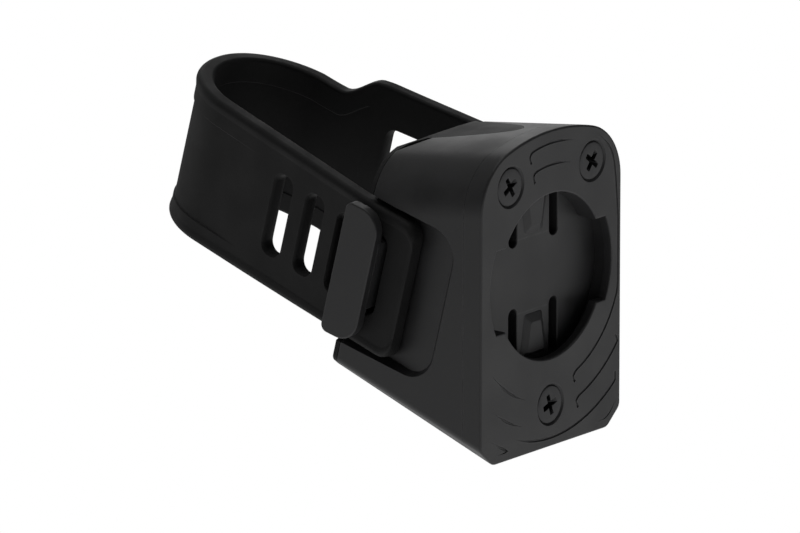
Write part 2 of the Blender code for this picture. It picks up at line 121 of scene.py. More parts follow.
def post_point(x: float, n: float, h: float) -> Vector:
    """Place a post-frame point.

    Args:
        x: Millimetres to the right of the seatpost's axis.
        n: Millimetres behind that axis.
        h: Millimetres up along it.

    Returns:
        The point in metres.
    """
    return Vector((x, n * COS_T - h * SIN_T, n * SIN_T + h * COS_T)) * MM


def on_axis(a: float, b: float, depth: float) -> Vector:
    """Place a point at (a, b) across the socket's axis, at a depth behind its face."""
    return face_point(a, depth, b)


def ease(value: float) -> float:
    """Smooth step of a value held between 0 and 1."""
    share = min(1.0, max(0.0, value))
    return share * share * (3.0 - 2.0 * share)


def arc(centre: Pair, radius: float, start: float, end: float, steps: int) -> list[Pair]:
    """Lay points along an arc.

    Args:
        centre: Centre of the arc.
        radius: Its radius.
        start: Start angle in degrees.
        end: End angle in degrees.
        steps: Number of chords.

    Returns:
        Points from start to end.
    """
    angles = [math.radians(start + (end - start) * i / steps) for i in range(steps + 1)]
    return [(centre[0] + radius * math.cos(a), centre[1] + radius * math.sin(a)) for a in angles]


def rounded_box(left: float, right: float, low: float, high: float, radii: Sequence[float],
                steps: int = 8) -> list[Pair]:
    """Outline a rectangle with rounded corners.

    Args:
        left: Lowest first coordinate.
        right: Highest first coordinate.
        low: Lowest second coordinate.
        high: Highest second coordinate.
        radii: Radii of the corners right-low, right-high, left-high, left-low.
        steps: Chords in each corner.

    Returns:
        Points of the closed outline.
    """
    corners = ((right, low, -1, 1, radii[0], -90.0), (right, high, -1, -1, radii[1], 0.0),
               (left, high, 1, -1, radii[2], 90.0), (left, low, 1, 1, radii[3], 180.0))
    points: list[Pair] = []
    for a, b, side_a, side_b, radius, start in corners:
        points += arc((a + side_a * radius, b + side_b * radius), radius, start, start + 90.0, steps)
    return points


class Bench:
    """Modelling operators, each used on one body at a time."""

    @staticmethod
    def clear() -> None:
        """Leave edit mode and deselect everything."""
        if bpy.context.object is not None and bpy.context.object.mode != "OBJECT":
            bpy.ops.object.mode_set(mode="OBJECT")
        bpy.ops.object.select_all(action="DESELECT")

    @staticmethod
    def pick(body: bpy.types.Object) -> None:
        """Select one body and make it active."""
        Bench.clear()
        body.select_set(True)
        bpy.context.view_layer.objects.active = body

    @staticmethod
    def loft(name: str, rings: Sequence[Ring]) -> bpy.types.Object:
        """Extrude a filled circle through rings of equal length.

        Args:
            name: Name of the new body.
            rings: Rings of points in order, the first and last of them capped.

        Returns:
            The closed body.
        """
        Bench.clear()
        bpy.ops.mesh.primitive_circle_add(vertices=len(rings[0]), radius=0.01, fill_type="NGON")
        body = bpy.context.active_object
        body.name = body.data.name = name
        bpy.ops.object.mode_set(mode="EDIT")
        shape = bmesh.from_edit_mesh(body.data)
        shape.verts.ensure_lookup_table()
        for vert, place in zip(list(shape.verts), rings[0]):
            vert.co = place
        for before, after in zip(rings, rings[1:]):
            bpy.ops.mesh.extrude_region()
            shape = bmesh.from_edit_mesh(body.data)
            tree = KDTree(len(before))
            for index, place in enumerate(before):
                tree.insert(place, index)
            tree.balance()
            for vert in [v for v in shape.verts if v.select]:
                vert.co = after[tree.find(vert.co)[1]]
        bmesh.update_edit_mesh(body.data)
        bpy.ops.mesh.select_all(action="SELECT")
        bpy.ops.mesh.normals_make_consistent(inside=False)
        bpy.ops.object.mode_set(mode="OBJECT")
        return body

    @staticmethod
    def join(body: bpy.types.Object, tool: bpy.types.Object, how: Join) -> bpy.types.Object:
        """Change a body by a tool, which is used up.

        Args:
            body: Body to change.
            tool: Closed tool body.
            how: Cut, add or keep.

        Returns:
            The changed body.
        """
        Bench.pick(body)
        change = body.modifiers.new("change", "BOOLEAN")
        change.operation = how.value
        change.solver = "EXACT"
        change.object = tool
        bpy.ops.object.modifier_apply(modifier=change.name)
        bpy.data.objects.remove(tool)
        return body

    @staticmethod
    def soften(body: bpy.types.Object, width: float, segments: int = 2, angle: float = 35.0) -> None:
        """Round a body's sharp edges.

        Args:
            body: Body to change.
            width: Width of the rounding in millimetres.
            segments: Faces across the rounding.
            angle: Edges sharper than this many degrees are rounded.
        """
        Bench.tidy(body)
        Bench.pick(body)
        bevel = body.modifiers.new("soften", "BEVEL")
        bevel.width = width * MM
        bevel.segments = segments
        bevel.limit_method = "ANGLE"
        bevel.angle_limit = math.radians(angle)
        bevel.use_clamp_overlap = True
        bpy.ops.object.modifier_apply(modifier=bevel.name)

    @staticmethod
    def tidy(body: bpy.types.Object, gap: float = 0.003) -> None:
        """Merge points closer than a gap in millimetres and join faces that lie in one plane."""
        Bench.pick(body)
        bpy.ops.object.mode_set(mode="EDIT")
        bpy.ops.mesh.select_all(action="SELECT")
        bpy.ops.mesh.remove_doubles(threshold=gap * MM)
        bpy.ops.mesh.dissolve_limited(angle_limit=math.radians(0.3))
        bpy.ops.object.mode_set(mode="OBJECT")

    @staticmethod
    def shade(body: bpy.types.Object, angle: float = 32.0) -> None:
        """Shade smooth except over edges sharper than an angle in degrees, large faces staying flat."""
        Bench.pick(body)
        bpy.ops.object.shade_smooth_by_angle(angle=math.radians(angle))
        weighting = body.modifiers.new("weighting", "WEIGHTED_NORMAL")
        weighting.keep_sharp = True
        bpy.ops.object.modifier_apply(modifier=weighting.name)

    @staticmethod
    def turned(name: str, place: Callable[[float, float, float], Vector], rings: Sequence[Pair],
               steps: int) -> bpy.types.Object:
        """Body of round section.

        Args:
            name: Name of the new body.
            place: Puts (a, b, depth) in space, a and b being across the axis.
            rings: Radius and depth of each ring.
            steps: Points in a ring.

        Returns:
            The closed body.
        """
        loops = []
        for radius, depth in rings:
            angles = [2 * math.pi * (i + 0.5) / steps for i in range(steps)]
            loops.append([place(radius * math.cos(a), radius * math.sin(a), depth) for a in angles])
        return Bench.loft(name, loops)


@dataclass(frozen=True)
class Piece:
    """A finished piece: what it rides on, stands for and is finished in."""

    body: bpy.types.Object
    rides_on: Optional[Body]
    slot: Slot
    stands_for: tuple[str, ...] = ()

    def settle(self, material: bpy.types.Material) -> None:
        """Dress the piece, tell the frame about it and report it."""
        self.body.data.materials.clear()
        self.body.data.materials.append(material)
        if self.rides_on is not None:
            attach(self.body, self.rides_on.value)
        if self.stands_for:
            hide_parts(*self.stands_for)
        count = len(self.body.data.polygons)
        LOG.info("%s: %d faces, finish %s", self.body.name, count, material.name)


class Desk:
    """Places and wires nodes in one tree."""

    def __init__(self, tree: bpy.types.NodeTree) -> None:
        """Keep the tree to work in."""
        self.tree = tree

    def node(self, kind: str, settings: Optional[dict[str, object]] = None,
             **inputs: object) -> bpy.types.Node:
        """Add a node.

        Args:
            kind: Blender's node type.
            settings: Properties of the node itself.
            inputs: Input sockets by name, underscores for spaces, each a value or a socket.

        Returns:
            The new node.
        """
        made = self.tree.nodes.new(kind)
        for name, value in (settings or {}).items():
            setattr(made, name, value)
        for name, value in inputs.items():
            self.feed(made.inputs[name.replace("_", " ")], value)
        return made

    def feed(self, socket: bpy.types.NodeSocket, value: object) -> None:
        """Set an input socket to a value, or wire an output socket to it."""
        if isinstance(value, bpy.types.NodeSocket):
            self.tree.links.new(value, socket)
        else:
            socket.default_value = value

    def maths(self, operation: str, first: object, second: object = 0.0,
              clamp: bool = False) -> bpy.types.NodeSocket:
        """Arithmetic of two values, returned as the output socket."""
        made = self.tree.nodes.new("ShaderNodeMath")
        made.operation = operation
        made.use_clamp = clamp
        self.feed(made.inputs[0], first)
        self.feed(made.inputs[1], second)
        return made.outputs[0]

    def spread(self, value: object, low: float, high: float, out_low: float,
               out_high: float) -> bpy.types.NodeSocket:
        """Map a value from one span to another, held at its ends."""
        made = self.node("ShaderNodeMapRange", Value=value, From_Min=low, From_Max=high, To_Min=out_low,
                         To_Max=out_high)
        return made.outputs["Result"]

    def blend(self, share: object, first: object, second: object,
              how: str = "MIX") -> bpy.types.NodeSocket:
        """Mix two colours by a share, returned as the output socket."""
        made = self.tree.nodes.new("ShaderNodeMix")
        made.data_type = "RGBA"
        made.blend_type = how
        self.feed(made.inputs["Factor"], share)
        self.feed(made.inputs[6], first)
        self.feed(made.inputs[7], second)
        return made.outputs[2]


class SurfaceGroups:
    """Shader groups shared by the finishes, each built once."""

    def __init__(self) -> None:
        """Build the groups."""
        self.grain = self._grain()
        self.wear = self._wear()
        self.dust = self._dust()

    @staticmethod
    def _new(name: str, inputs: dict[str, float], outputs: dict[str, str]) -> tuple[Desk, object, object]:
        """Start a group with its sockets.

        Args:
            name: Name of the group.
            inputs: Float inputs with their defaults.
            outputs: Output names with their socket types.

        Returns:
            The desk of the group's tree, its input node and its output node.
        """
        tree = bpy.data.node_groups.new(name, "ShaderNodeTree")
        for label, default in inputs.items():
            socket = tree.interface.new_socket(label, in_out="INPUT", socket_type="NodeSocketFloat")
            socket.default_value = default
        for label, kind in outputs.items():
            tree.interface.new_socket(label, in_out="OUTPUT", socket_type=kind)
        desk = Desk(tree)
        return desk, desk.node("NodeGroupInput"), desk.node("NodeGroupOutput")

    def _grain(self) -> bpy.types.NodeTree:
        """Spark-eroded mould grain: pits and the patches in which they lie thicker."""
        desk, given, result = self._new("mould_grain", {"Fineness": 5200.0, "Patch Size": 140.0},
                                        {"Height": "NodeSocketFloat", "Patches": "NodeSocketFloat"})
        place = desk.node("ShaderNodeTexCoord").outputs["Object"]
        fine = desk.node("ShaderNodeTexNoise", Vector=place, Scale=given.outputs["Fineness"], Detail=3.0,
                         Roughness=0.62)
        pits = desk.node("ShaderNodeTexVoronoi", {"feature": "SMOOTH_F1"}, Vector=place,
                         Scale=given.outputs["Fineness"], Smoothness=0.6)
        broad = desk.node("ShaderNodeTexNoise", Vector=place, Scale=given.outputs["Patch Size"], Detail=4.0,
                          Roughness=0.55)
        height = desk.maths("ADD", desk.maths("MULTIPLY", fine.outputs["Fac"], 0.6),
                            desk.maths("MULTIPLY", pits.outputs["Distance"], 0.4))
        desk.feed(result.inputs["Height"], height)
        desk.feed(result.inputs["Patches"], desk.spread(broad.outputs["Fac"], 0.35, 0.65, 0.0, 1.0))
        return desk.tree

    def _wear(self) -> bpy.types.NodeTree:
        """Rubbed edges: a mask of outer edges, broken up by scuffs."""
        desk, given, result = self._new("rubbed_edges", {"Reach": 0.0005, "Scuff Size": 900.0},
                                        {"Mask": "NodeSocketFloat"})
        geometry = desk.node("ShaderNodeNewGeometry")
        rounded = desk.node("ShaderNodeBevel", {"samples": 4}, Radius=given.outputs["Reach"])
        turn = desk.node("ShaderNodeVectorMath", {"operation": "DOT_PRODUCT"})
        desk.feed(turn.inputs[0], rounded.outputs["Normal"])
        desk.feed(turn.inputs[1], geometry.outputs["Normal"])
        edge = desk.spread(turn.outputs["Value"], 0.995, 0.86, 0.0, 1.0)
        place = desk.node("ShaderNodeTexCoord").outputs["Object"]
        scuff = desk.node("ShaderNodeTexNoise", Vector=place, Scale=given.outputs["Scuff Size"], Detail=5.0,
                          Roughness=0.7)
        broken = desk.spread(scuff.outputs["Fac"], 0.4, 0.62, 0.25, 1.0)
        desk.feed(result.inputs["Mask"], desk.maths("MULTIPLY", edge, broken, clamp=True))
        return desk.tree

    def _dust(self) -> bpy.types.NodeTree:
        """Fine dust: specks and a thin bloom on what faces up."""
        desk, given, result = self._new("fine_dust", {"Speck Size": 2400.0}, {"Mask": "NodeSocketFloat"})
        place = desk.node("ShaderNodeTexCoord").outputs["Object"]
        normal = desk.node("ShaderNodeSeparateXYZ", Vector=desk.node("ShaderNodeNewGeometry").outputs["Normal"])
        specks = desk.node("ShaderNodeTexNoise", Vector=place, Scale=given.outputs["Speck Size"], Detail=6.0,
                           Roughness=0.75)
        cloud = desk.node("ShaderNodeTexNoise", Vector=place, Scale=90.0, Detail=3.0)
        upward = desk.spread(normal.outputs["Z"], -0.2, 1.0, 0.25, 1.0)
        specked = desk.spread(specks.outputs["Fac"], 0.52, 0.74, 0.0, 1.0)
        amount = desk.maths("MULTIPLY", specked, desk.spread(cloud.outputs["Fac"], 0.35, 0.7, 0.2, 1.0))
        desk.feed(result.inputs["Mask"], desk.maths("MULTIPLY", amount, upward, clamp=True))
        return desk.tree


@dataclass(frozen=True)
class MouldedSurface:
    """Moulded plastic or rubber, with grain, rubbed edges and a trace of dust."""

    name: str
    colour: tuple[float, float, float]
    worn: tuple[float, float, float]
    roughness: float
    fineness: float
    grain_depth: float
    patch_shift: float
    edge_reach: float
    edge_share: float
    dust_share: float
    specular: float = 0.5
    sheen: float = 0.0

    def make(self, groups: SurfaceGroups) -> bpy.types.Material:
        """Build the material.

        Args:
            groups: The shared shader groups.

        Returns:
            The finished material.
        """
        material = bpy.data.materials.new(self.name)
        material.use_nodes = True
        desk = Desk(material.node_tree)
        shader = material.node_tree.nodes["Principled BSDF"]
        grain = desk.node("ShaderNodeGroup", {"node_tree": groups.grain}, Fineness=self.fineness,
                          Patch_Size=150.0)
        wear = desk.node("ShaderNodeGroup", {"node_tree": groups.wear}, Reach=self.edge_reach * MM,
                         Scuff_Size=900.0)
        dust = desk.node("ShaderNodeGroup", {"node_tree": groups.dust}, Speck_Size=2400.0)
        dark = tuple(0.82 * c for c in self.colour) + (1.0,)
        light = tuple(1.18 * c for c in self.colour) + (1.0,)
        tone = desk.blend(grain.outputs["Patches"], dark, light)
        rubbed = desk.blend(desk.maths("MULTIPLY", wear.outputs["Mask"], self.edge_share), tone,
                            tuple(self.worn) + (1.0,))
        dusty = desk.blend(desk.maths("MULTIPLY", dust.outputs["Mask"], self.dust_share), rubbed,
                           (0.32, 0.31, 0.29, 1.0))
        desk.feed(shader.inputs["Base Color"], dusty)
        low = self.roughness - self.patch_shift
        rough = desk.spread(grain.outputs["Patches"], 0.0, 1.0, low, self.roughness + self.patch_shift)
        rough = desk.maths("SUBTRACT", rough, desk.maths("MULTIPLY", wear.outputs["Mask"], 0.1), clamp=True)
        desk.feed(shader.inputs["Roughness"], rough)
        bump = desk.node("ShaderNodeBump", Strength=0.55, Distance=self.grain_depth * MM,
                         Height=grain.outputs["Height"])
        desk.feed(shader.inputs["Normal"], bump.outputs["Normal"])
        shader.inputs["Specular IOR Level"].default_value = self.specular
        shader.inputs["Sheen Weight"].default_value = self.sheen
        shader.inputs["Sheen Roughness"].default_value = 0.5
        return material


@dataclass(frozen=True)
class TurnedMetal:
    """Metal turned on a lathe, with fine rings round an axis along y or n."""

    name: str
    colour: tuple[float, float, float]
    worn: tuple[float, float, float]
    roughness: float
    centre: tuple[float, float, float]
    metallic: float = 1.0
    ring_pitch: float = 0.14
    ring_depth: float = 0.004

    def make(self, groups: SurfaceGroups) -> bpy.types.Material:
        """Build the material.

        Args:
            groups: The shared shader groups.

        Returns:
            The finished material.
        """
        material = bpy.data.materials.new(self.name)
        material.use_nodes = True
        desk = Desk(material.node_tree)
        shader = material.node_tree.nodes["Principled BSDF"]
        place = desk.node("ShaderNodeTexCoord").outputs["Object"]
        centred = desk.node("ShaderNodeMapping", Vector=place, Location=tuple(-c for c in self.centre))
        rings = desk.node("ShaderNodeTexWave", {"wave_type": "RINGS", "rings_direction": "Y"},
                          Vector=centred.outputs["Vector"], Scale=1.0 / (self.ring_pitch * MM) / 3.1,
                          Distortion=0.6, Detail=2.0, Detail_Scale=1.5)
        grain = desk.node("ShaderNodeGroup", {"node_tree": groups.grain}, Fineness=3600.0, Patch_Size=420.0)
        wear = desk.node("ShaderNodeGroup", {"node_tree": groups.wear}, Reach=0.00018, Scuff_Size=1500.0)
        dark = tuple(0.8 * c for c in self.colour) + (1.0,)
        light = tuple(1.2 * c for c in self.colour) + (1.0,)
        tone = desk.blend(grain.outputs["Patches"], dark, light)
        rubbed = desk.blend(desk.maths("MULTIPLY", wear.outputs["Mask"], 0.55), tone, tuple(self.worn) + (1.0,))
        desk.feed(shader.inputs["Base Color"], rubbed)
        rough = desk.spread(grain.outputs["Patches"], 0.0, 1.0, self.roughness - 0.07, self.roughness + 0.08)
        desk.feed(shader.inputs["Roughness"], rough)
        height = desk.maths("ADD", rings.outputs["Fac"], desk.maths("MULTIPLY", grain.outputs["Height"], 0.7))
        bump = desk.node("ShaderNodeBump", Strength=0.4, Distance=self.ring_depth * MM, Height=height)
        desk.feed(shader.inputs["Normal"], bump.outputs["Normal"])
        shader.inputs["Metallic"].default_value = self.metallic
        return material


@dataclass
class Shell:
    """Outline and rear of the wedge-shaped body, shared by its plate, housing and pad."""

    half_width: float = 17.3
    top_height: float = 22.9
    top_radius: float = 38.0
    shoulder: float = 9.4
    side_bottom: float = -24.1
    bottom: float = -26.9
    bottom_half: float = 14.1
    top_fall: float = -0.14
    side_rise: float = 0.353
    bottom_rise: float = 0.392
    chamfer_spread: float = 0.04
    rear: float = -15.2
    rear_line: tuple[Pair, ...] = ((0.0, -60.0), (0.0, 11.0), (0.2, 12.7), (0.7, 14.4), (2.2, 19.1),
                                   (3.2, 22.0), (6.0, 30.0))
    rear_span: float = 7.0

    def outline(self, inset: float = 0.0) -> list[tuple[float, float, float, float]]:
        """Outline the front, moved inwards by an inset.

        Args:
            inset: Millimetres inwards.

        Returns:
            Points as (x, z, rise per depth, spread share).
        """
        half = self.half_width - inset
        corner = self.shoulder - inset
        top = self.top_radius - inset
        centre_x = half - corner
        top_centre = self.top_height - self.top_radius
        centre_z = top_centre + math.sqrt((top - corner) ** 2 - centre_x**2)
        turn = math.degrees(math.atan2(centre_z - top_centre, centre_x))
        crown = arc((centre_x, centre_z), corner, 0.0, turn, 18)
        crown += arc((0.0, top_centre), top, turn, 180.0 - turn, 28)[1:-1]
        crown += arc((-centre_x, centre_z), corner, 180.0 - turn, 180.0, 18)
        low = (self.bottom_half - 0.4 * inset, self.bottom + inset, self.bottom_rise, 1.0)
        side = (half, self.side_bottom + 0.4 * inset, self.side_rise, 0.0)
        upper = (half, centre_z, self.top_fall, 0.0)
        middle = (0.0, self.bottom + inset, self.bottom_rise, 0.0)
        right = self._eased(middle, low, side, 0.7) + self._eased(low, side, upper, 0.7)
        left = [(-x, z, rise, share) for x, z, rise, share in right[::-1]]
        return right + [(x, z, self.top_fall, 0.0) for x, z in crown] + left

    @staticmethod
    def _eased(before: Sequence[float], corner: Sequence[float], after: Sequence[float],
               reach: float) -> list[tuple[float, float, float, float]]:
        """Round one corner of the outline.

        Args:
            before: Point before the corner.
            corner: The corner.
            after: Point after the corner.
            reach: Millimetres from the corner at which the rounding starts.

        Returns:
            Six points that round the corner.
        """
        centre = Vector(corner[:2])
        start = centre + (Vector(before[:2]) - centre).normalized() * reach
        end = centre + (Vector(after[:2]) - centre).normalized() * reach
        points = []
        for i in range(6):
            t = i / 5
            spot = start * (1 - t) ** 2 + centre * 2 * t * (1 - t) + end * t**2
            points.append((spot.x, spot.y, corner[2], corner[3]))
        return points

    def at_depth(self, y: float, inset: float = 0.0) -> Ring:
        """Ring of the outline at a depth behind the socket face."""
        return [self._place(x, z, rise, share, y) for x, z, rise, share in self.outline(inset)]

    def at_post(self, n: float, inset: float = 0.0) -> Ring:
        """Ring of the outline on a plane along the seatpost, n behind its axis."""
        ring = []
        for x, z, rise, share in self.outline(inset):
            reach = n + FACE_AHEAD * COS_T - (z - SOCKET_DROP) * SIN_T
            ring.append(self._place(x, z, rise, share, reach / (COS_T + rise * SIN_T)))
        return ring

    def _place(self, x: float, z: float, rise: float, share: float, y: float) -> Vector:
        """Place an outline point at a depth, with its rise and spread."""
        wider = math.copysign(self.chamfer_spread * y, x) * share if x else 0.0
        return face_point(x + wider, y, z + rise * y)

    def behind(self, back: float) -> bpy.types.Object:
        """Tool that holds everything ahead of the bent rear face, moved back by a distance."""
        line = [(self.rear + back + n, h) for n, h in self.rear_line]
        points = [(-60.0, -60.0)] + line + [(-60.0, 30.0)]
        rings = [[post_point(x, n, h) for n, h in points] for x in (-40.0, 40.0)]
        return Bench.loft("rear_tool", rings)


@dataclass
class StrapPath:
    """Run of the rubber strap: two flared arms and the round end between them."""

    thick: float = 2.7
    top: float = 11.3
    bottom: float = -11.4
    lift_start: float = -12.0
    lift_top: float = 1.4
    lift_bottom: float = 0.5
    centre: float = 16.9
    radius: float = 13.2
    flare: float = 7.5
    tip: float = -25.1
    corner: float = 2.6
    head_extra: float = 3.6
    head_drop: float = 0.4
    far_drop: float = 0.7
    dip_place: float = 12.5
    dip_reach: float = 6.0
    dip_depth: float = 0.4
    head_start: float = 14.1
    head_full: float = 8.0

    def outer(self, n: float) -> float:
        """Half-width of the strap's outer face at n, along the flared arms."""
        flare = math.radians(self.flare)
        start = self.centre + self.radius * math.sin(flare)
        return self.radius * math.cos(flare) + (start - n) * math.tan(flare)

    def band(self, n: float, side: int) -> Pair:
        """Low and high edge of the strap at n.

        Args:
            n: Millimetres behind the seatpost's axis.
            side: Sign of x.

        Returns:
            Heights of the low and the high edge.
        """
        lift = max(0.0, (n - self.lift_start) / (self.centre + self.radius - self.lift_start))
        near = (self.bottom + self.lift_bottom * lift**2, self.top + self.lift_top * lift)
        if side < 0:
            return near
        extra = self.head_extra * ease((self.head_start - n) / (self.head_start - self.head_full))
        dip = self.dip_depth * math.cos(math.pi / 2 * min(1.0, abs(n - self.dip_place) / self.dip_reach))
        low = self.bottom - self.head_drop * extra - self.far_drop
        low += (self.lift_bottom + self.far_drop) * lift**6
        return low, self.top + extra + self.lift_top * lift**4 - dip

    def beside(self, side: Side, n: float, u: float, v: float, h: float) -> Vector:
        """Place a point by an arm's outer face.

        Args:
            side: Which arm.
            n: Place of the local origin along the arm.
            u: Millimetres along the arm, to the rear.
            v: Millimetres out of its outer face.
            h: Height along the seatpost.

        Returns:
            The point in metres.
        """
        flare = math.radians(self.flare)
        x = side.value * (self.outer(n) - math.sin(flare) * u + math.cos(flare) * v)
        return post_point(x, n + math.cos(flare) * u + math.sin(flare) * v, h)


@dataclass
class SideRecess:
    """Slanted recess in the shell's side, in which an end of the strap lies."""

    strap: StrapPath
    side: Side
    front: float = -32.2
    low: float = -12.3
    low_slope: float = 1.0
    far_room: float = 0.4
    high: float = 12.1
    corner: float = 4.6
    gap: float = 0.35
    levels: tuple[Pair, ...] = ((-0.5, 0.0), (-0.42, 0.05), (0.12, 0.95), (0.2, 1.0), (0.23, 1.4))

    def floor(self, n: float) -> float:
        """Half-width of the recess floor at n."""
        return self.strap.outer(n) - self.strap.thick / math.cos(math.radians(self.strap.flare)) - self.gap

    def tool(self, face: float) -> bpy.types.Object:
        """Tool that cuts the recess.

        Args:
            face: Half-width of the shell, where the walls end.

        Returns:
            The closed tool.
        """
        extra = 0.0 if self.side is Side.LEFT else self.strap.head_extra
        low = self.low
        slope = self.low_slope
        if self.side is Side.RIGHT:
            low -= self.strap.head_drop * extra + self.strap.far_drop + self.far_room
            slope = 1.0
        rings = []
        for wider, share in self.levels:
            radii = (0.5, 0.5, self.corner + wider, self.corner + wider)
            points = rounded_box(self.front - wider, 0.0, low - slope * wider, self.high + extra + wider, radii, 9)
            ring = []
            for n, h in points:
                floor = self.floor(n)
                ring.append(post_point(self.side.value * (floor + (face - floor) * share), n, h))
            rings.append(ring)
        return Bench.loft("recess_tool", rings)


@dataclass
class Tongue:
    """Pointed tongue of the pad, laid into the shell's top."""

    shell: Shell
    tip: float = 5.9
    depth: float = 1.0
    gap: float = 0.1

    def plan(self, margin: float) -> bpy.types.Object:
        """Tool in the tongue's plan, widened by a margin."""
        length = 19.0 - self.tip
        right = []
        for i in range(21):
            run = length * (i / 20) ** 2
            right.append((6.2 * math.sqrt(run / length) + margin * (i > 0), self.tip - margin + run))
        right += [(8.3 + margin, 20.6 - margin), (12.0 + margin, 21.8 - margin), (12.0 + margin, 27.0)]
        points = right[::-1] + [(-x, y) for x, y in right[1:]]
        return Bench.loft("tongue_plan", [[face_point(x, y, z) for x, y in points] for z in (8.0, 30.0)])

    def between(self, inset: float, start: float, end: float) -> bpy.types.Object:
        """Tool of the shell's section, inset, from a depth to a plane along the seatpost."""
        return Bench.loft("shell_section", [self.shell.at_depth(start, inset), self.shell.at_post(end, inset)])


@dataclass
class Housing:
    """Moulded wedge behind the front plate."""

    shell: Shell
    strap: StrapPath
    tongue: Tongue
    screws: tuple[Pair, ...]
    front: float = 3.45
    edge: float = 0.03
    groove: float = 17.3
    disc_seat: float = 15.7
    insert_bore: float = 2.6
    boss: float = 3.9

    def build(self) -> Piece:
        """Build the housing."""
        shell = self.shell
        rings = [shell.at_depth(self.front, self.edge), shell.at_depth(self.front + self.edge),
                 shell.at_post(shell.rear + shell.rear_span)]
        body = Bench.loft("housing_shell", rings)
        Bench.join(body, shell.behind(0.0), Join.KEEP)
        Bench.join(body, self._cavity(), Join.CUT)
        seat = Bench.turned("disc_seat_tool", on_axis, [(self.disc_seat, 2.0), (self.disc_seat, 5.5)], 120)
        Bench.join(body, seat, Join.CUT)
        for x, z in self.screws:
            bore = Bench.turned("insert_bore_tool", lambda a, b, y, x=x, z=z: face_point(x + a, y, z + b),
                                [(self.insert_bore, 2.0), (self.insert_bore, 9.0)], 40)
            Bench.join(body, bore, Join.CUT)
        Bench.join(body, post_cylinder(self.groove), Join.CUT)
        for side in Side:
            Bench.join(body, SideRecess(self.strap, side).tool(shell.half_width), Join.CUT)
            hook = Hook(side)
            Bench.join(body, hook.neck(0.08), Join.CUT)
            Bench.join(body, hook.pin_hole(), Join.CUT)
        inlay = self.tongue.between(-1.03, 3.71, 0.37)
        core = self.tongue.between(self.tongue.depth + self.tongue.gap, 1.0, 5.0)
        Bench.join(inlay, core, Join.CUT)
        Bench.join(inlay, self.tongue.plan(self.tongue.gap), Join.KEEP)
        Bench.join(body, inlay, Join.CUT)
        Bench.tidy(body)
        Bench.shade(body, 30.0)
        return Piece(body, Body.MOUNT, Slot.PLASTIC, ("housing",))

    def _cavity(self) -> bpy.types.Object:
        """Tool of the inner hollow, with the screw bosses left standing."""
        crown = arc((9.0, 13.0), 4.0, 0.0, 65.0, 8) + [(0.0, 20.4)]
        crown += [(-x, z) for x, z in crown[-2::-1]]
        points = [(13.0, -23.0, self.shell.bottom_rise)]
        points += [(x, z, self.shell.top_fall) for x, z in crown]
        points.append((-13.0, -23.0, self.shell.bottom_rise))
        front = [face_point(x, 3.0, z + rise * 3.0) for x, z, rise in points]
        rear = []
        for x, z, rise in points:
            reach = -22.6 + FACE_AHEAD * COS_T - (z - SOCKET_DROP) * SIN_T
            depth = reach / (COS_T + rise * SIN_T)
            rear.append(face_point(x, depth, z + rise * depth))
        hollow = Bench.loft("cavity_tool", [front, rear])
        for x, z in self.screws:
            boss = Bench.turned("boss_tool", lambda a, b, y, x=x, z=z: face_point(x + a, y, z + b),
                                [(self.boss, 2.0), (self.boss, 25.0)], 40)
            Bench.join(hollow, boss, Join.CUT)
        return hollow


def post_cylinder(radius: float, reach: float = 45.0, steps: int = 180) -> bpy.types.Object:
    """Tool of a cylinder on the seatpost's axis."""
    rings = []
    for h in (-reach, reach):
        angles = [2 * math.pi * i / steps for i in range(steps)]
        rings.append([post_point(radius * math.cos(a), radius * math.sin(a), h) for a in angles])
    return Bench.loft("post_tool", rings)


@dataclass(frozen=True)
class Groove:
    """Thin decorative groove in the front face, from a row of (x, z) points."""

    points: tuple[Pair, ...]
    fades_at_start: bool = False
    fades_at_end: bool = False
    radius: float = 0.22

    def tool(self) -> bpy.types.Object:
        """Tool of round section along the groove, sunk to its middle in the face."""
        places = [Vector(p) for p in self.points]
        count = len(places)
        rings = []
        for i, place in enumerate(places):
            along = (places[min(i + 1, count - 1)] - places[max(i - 1, 0)]).normalized()
            across = Vector((-along.y, along.x))
            radius = self.radius
            if self.fades_at_start:
                radius *= 0.15 + 0.85 * ease(i / 6)
            if self.fades_at_end:
                radius *= 0.15 + 0.85 * ease((count - 1 - i) / 6)
            ring = []
            for k in range(10):
                angle = 2 * math.pi * k / 10 + 0.1
                side = place + across * radius * math.cos(angle)
                ring.append(face_point(side.x, radius * math.sin(angle) + 0.02, side.y))
            rings.append(ring)
        return Bench.loft("groove_tool", rings)


def swept(points: Sequence[Pair], spacing: float = 0.6) -> tuple[Pair, ...]:
    """Spread points evenly along a line of points.

    Args:
        points: Corners of the line.
        spacing: Distance between new points.

    Returns:
        The evenly spread points.
    """
    line = [Vector(p) for p in points]
    lengths = [0.0]
    for before, after in zip(line, line[1:]):
        lengths.append(lengths[-1] + (after - before).length)
    count = max(3, int(lengths[-1] / spacing))
    found = []
    for i in range(count + 1):
        target = lengths[-1] * i / count
        k = max(j for j in range(len(lengths)) if lengths[j] <= target + 1e-9)
        k = min(k, len(line) - 2)
        share = (target - lengths[k]) / (lengths[k + 1] - lengths[k])
        spot = line[k].lerp(line[k + 1], share)
        found.append((spot.x, spot.y))
    return tuple(found)


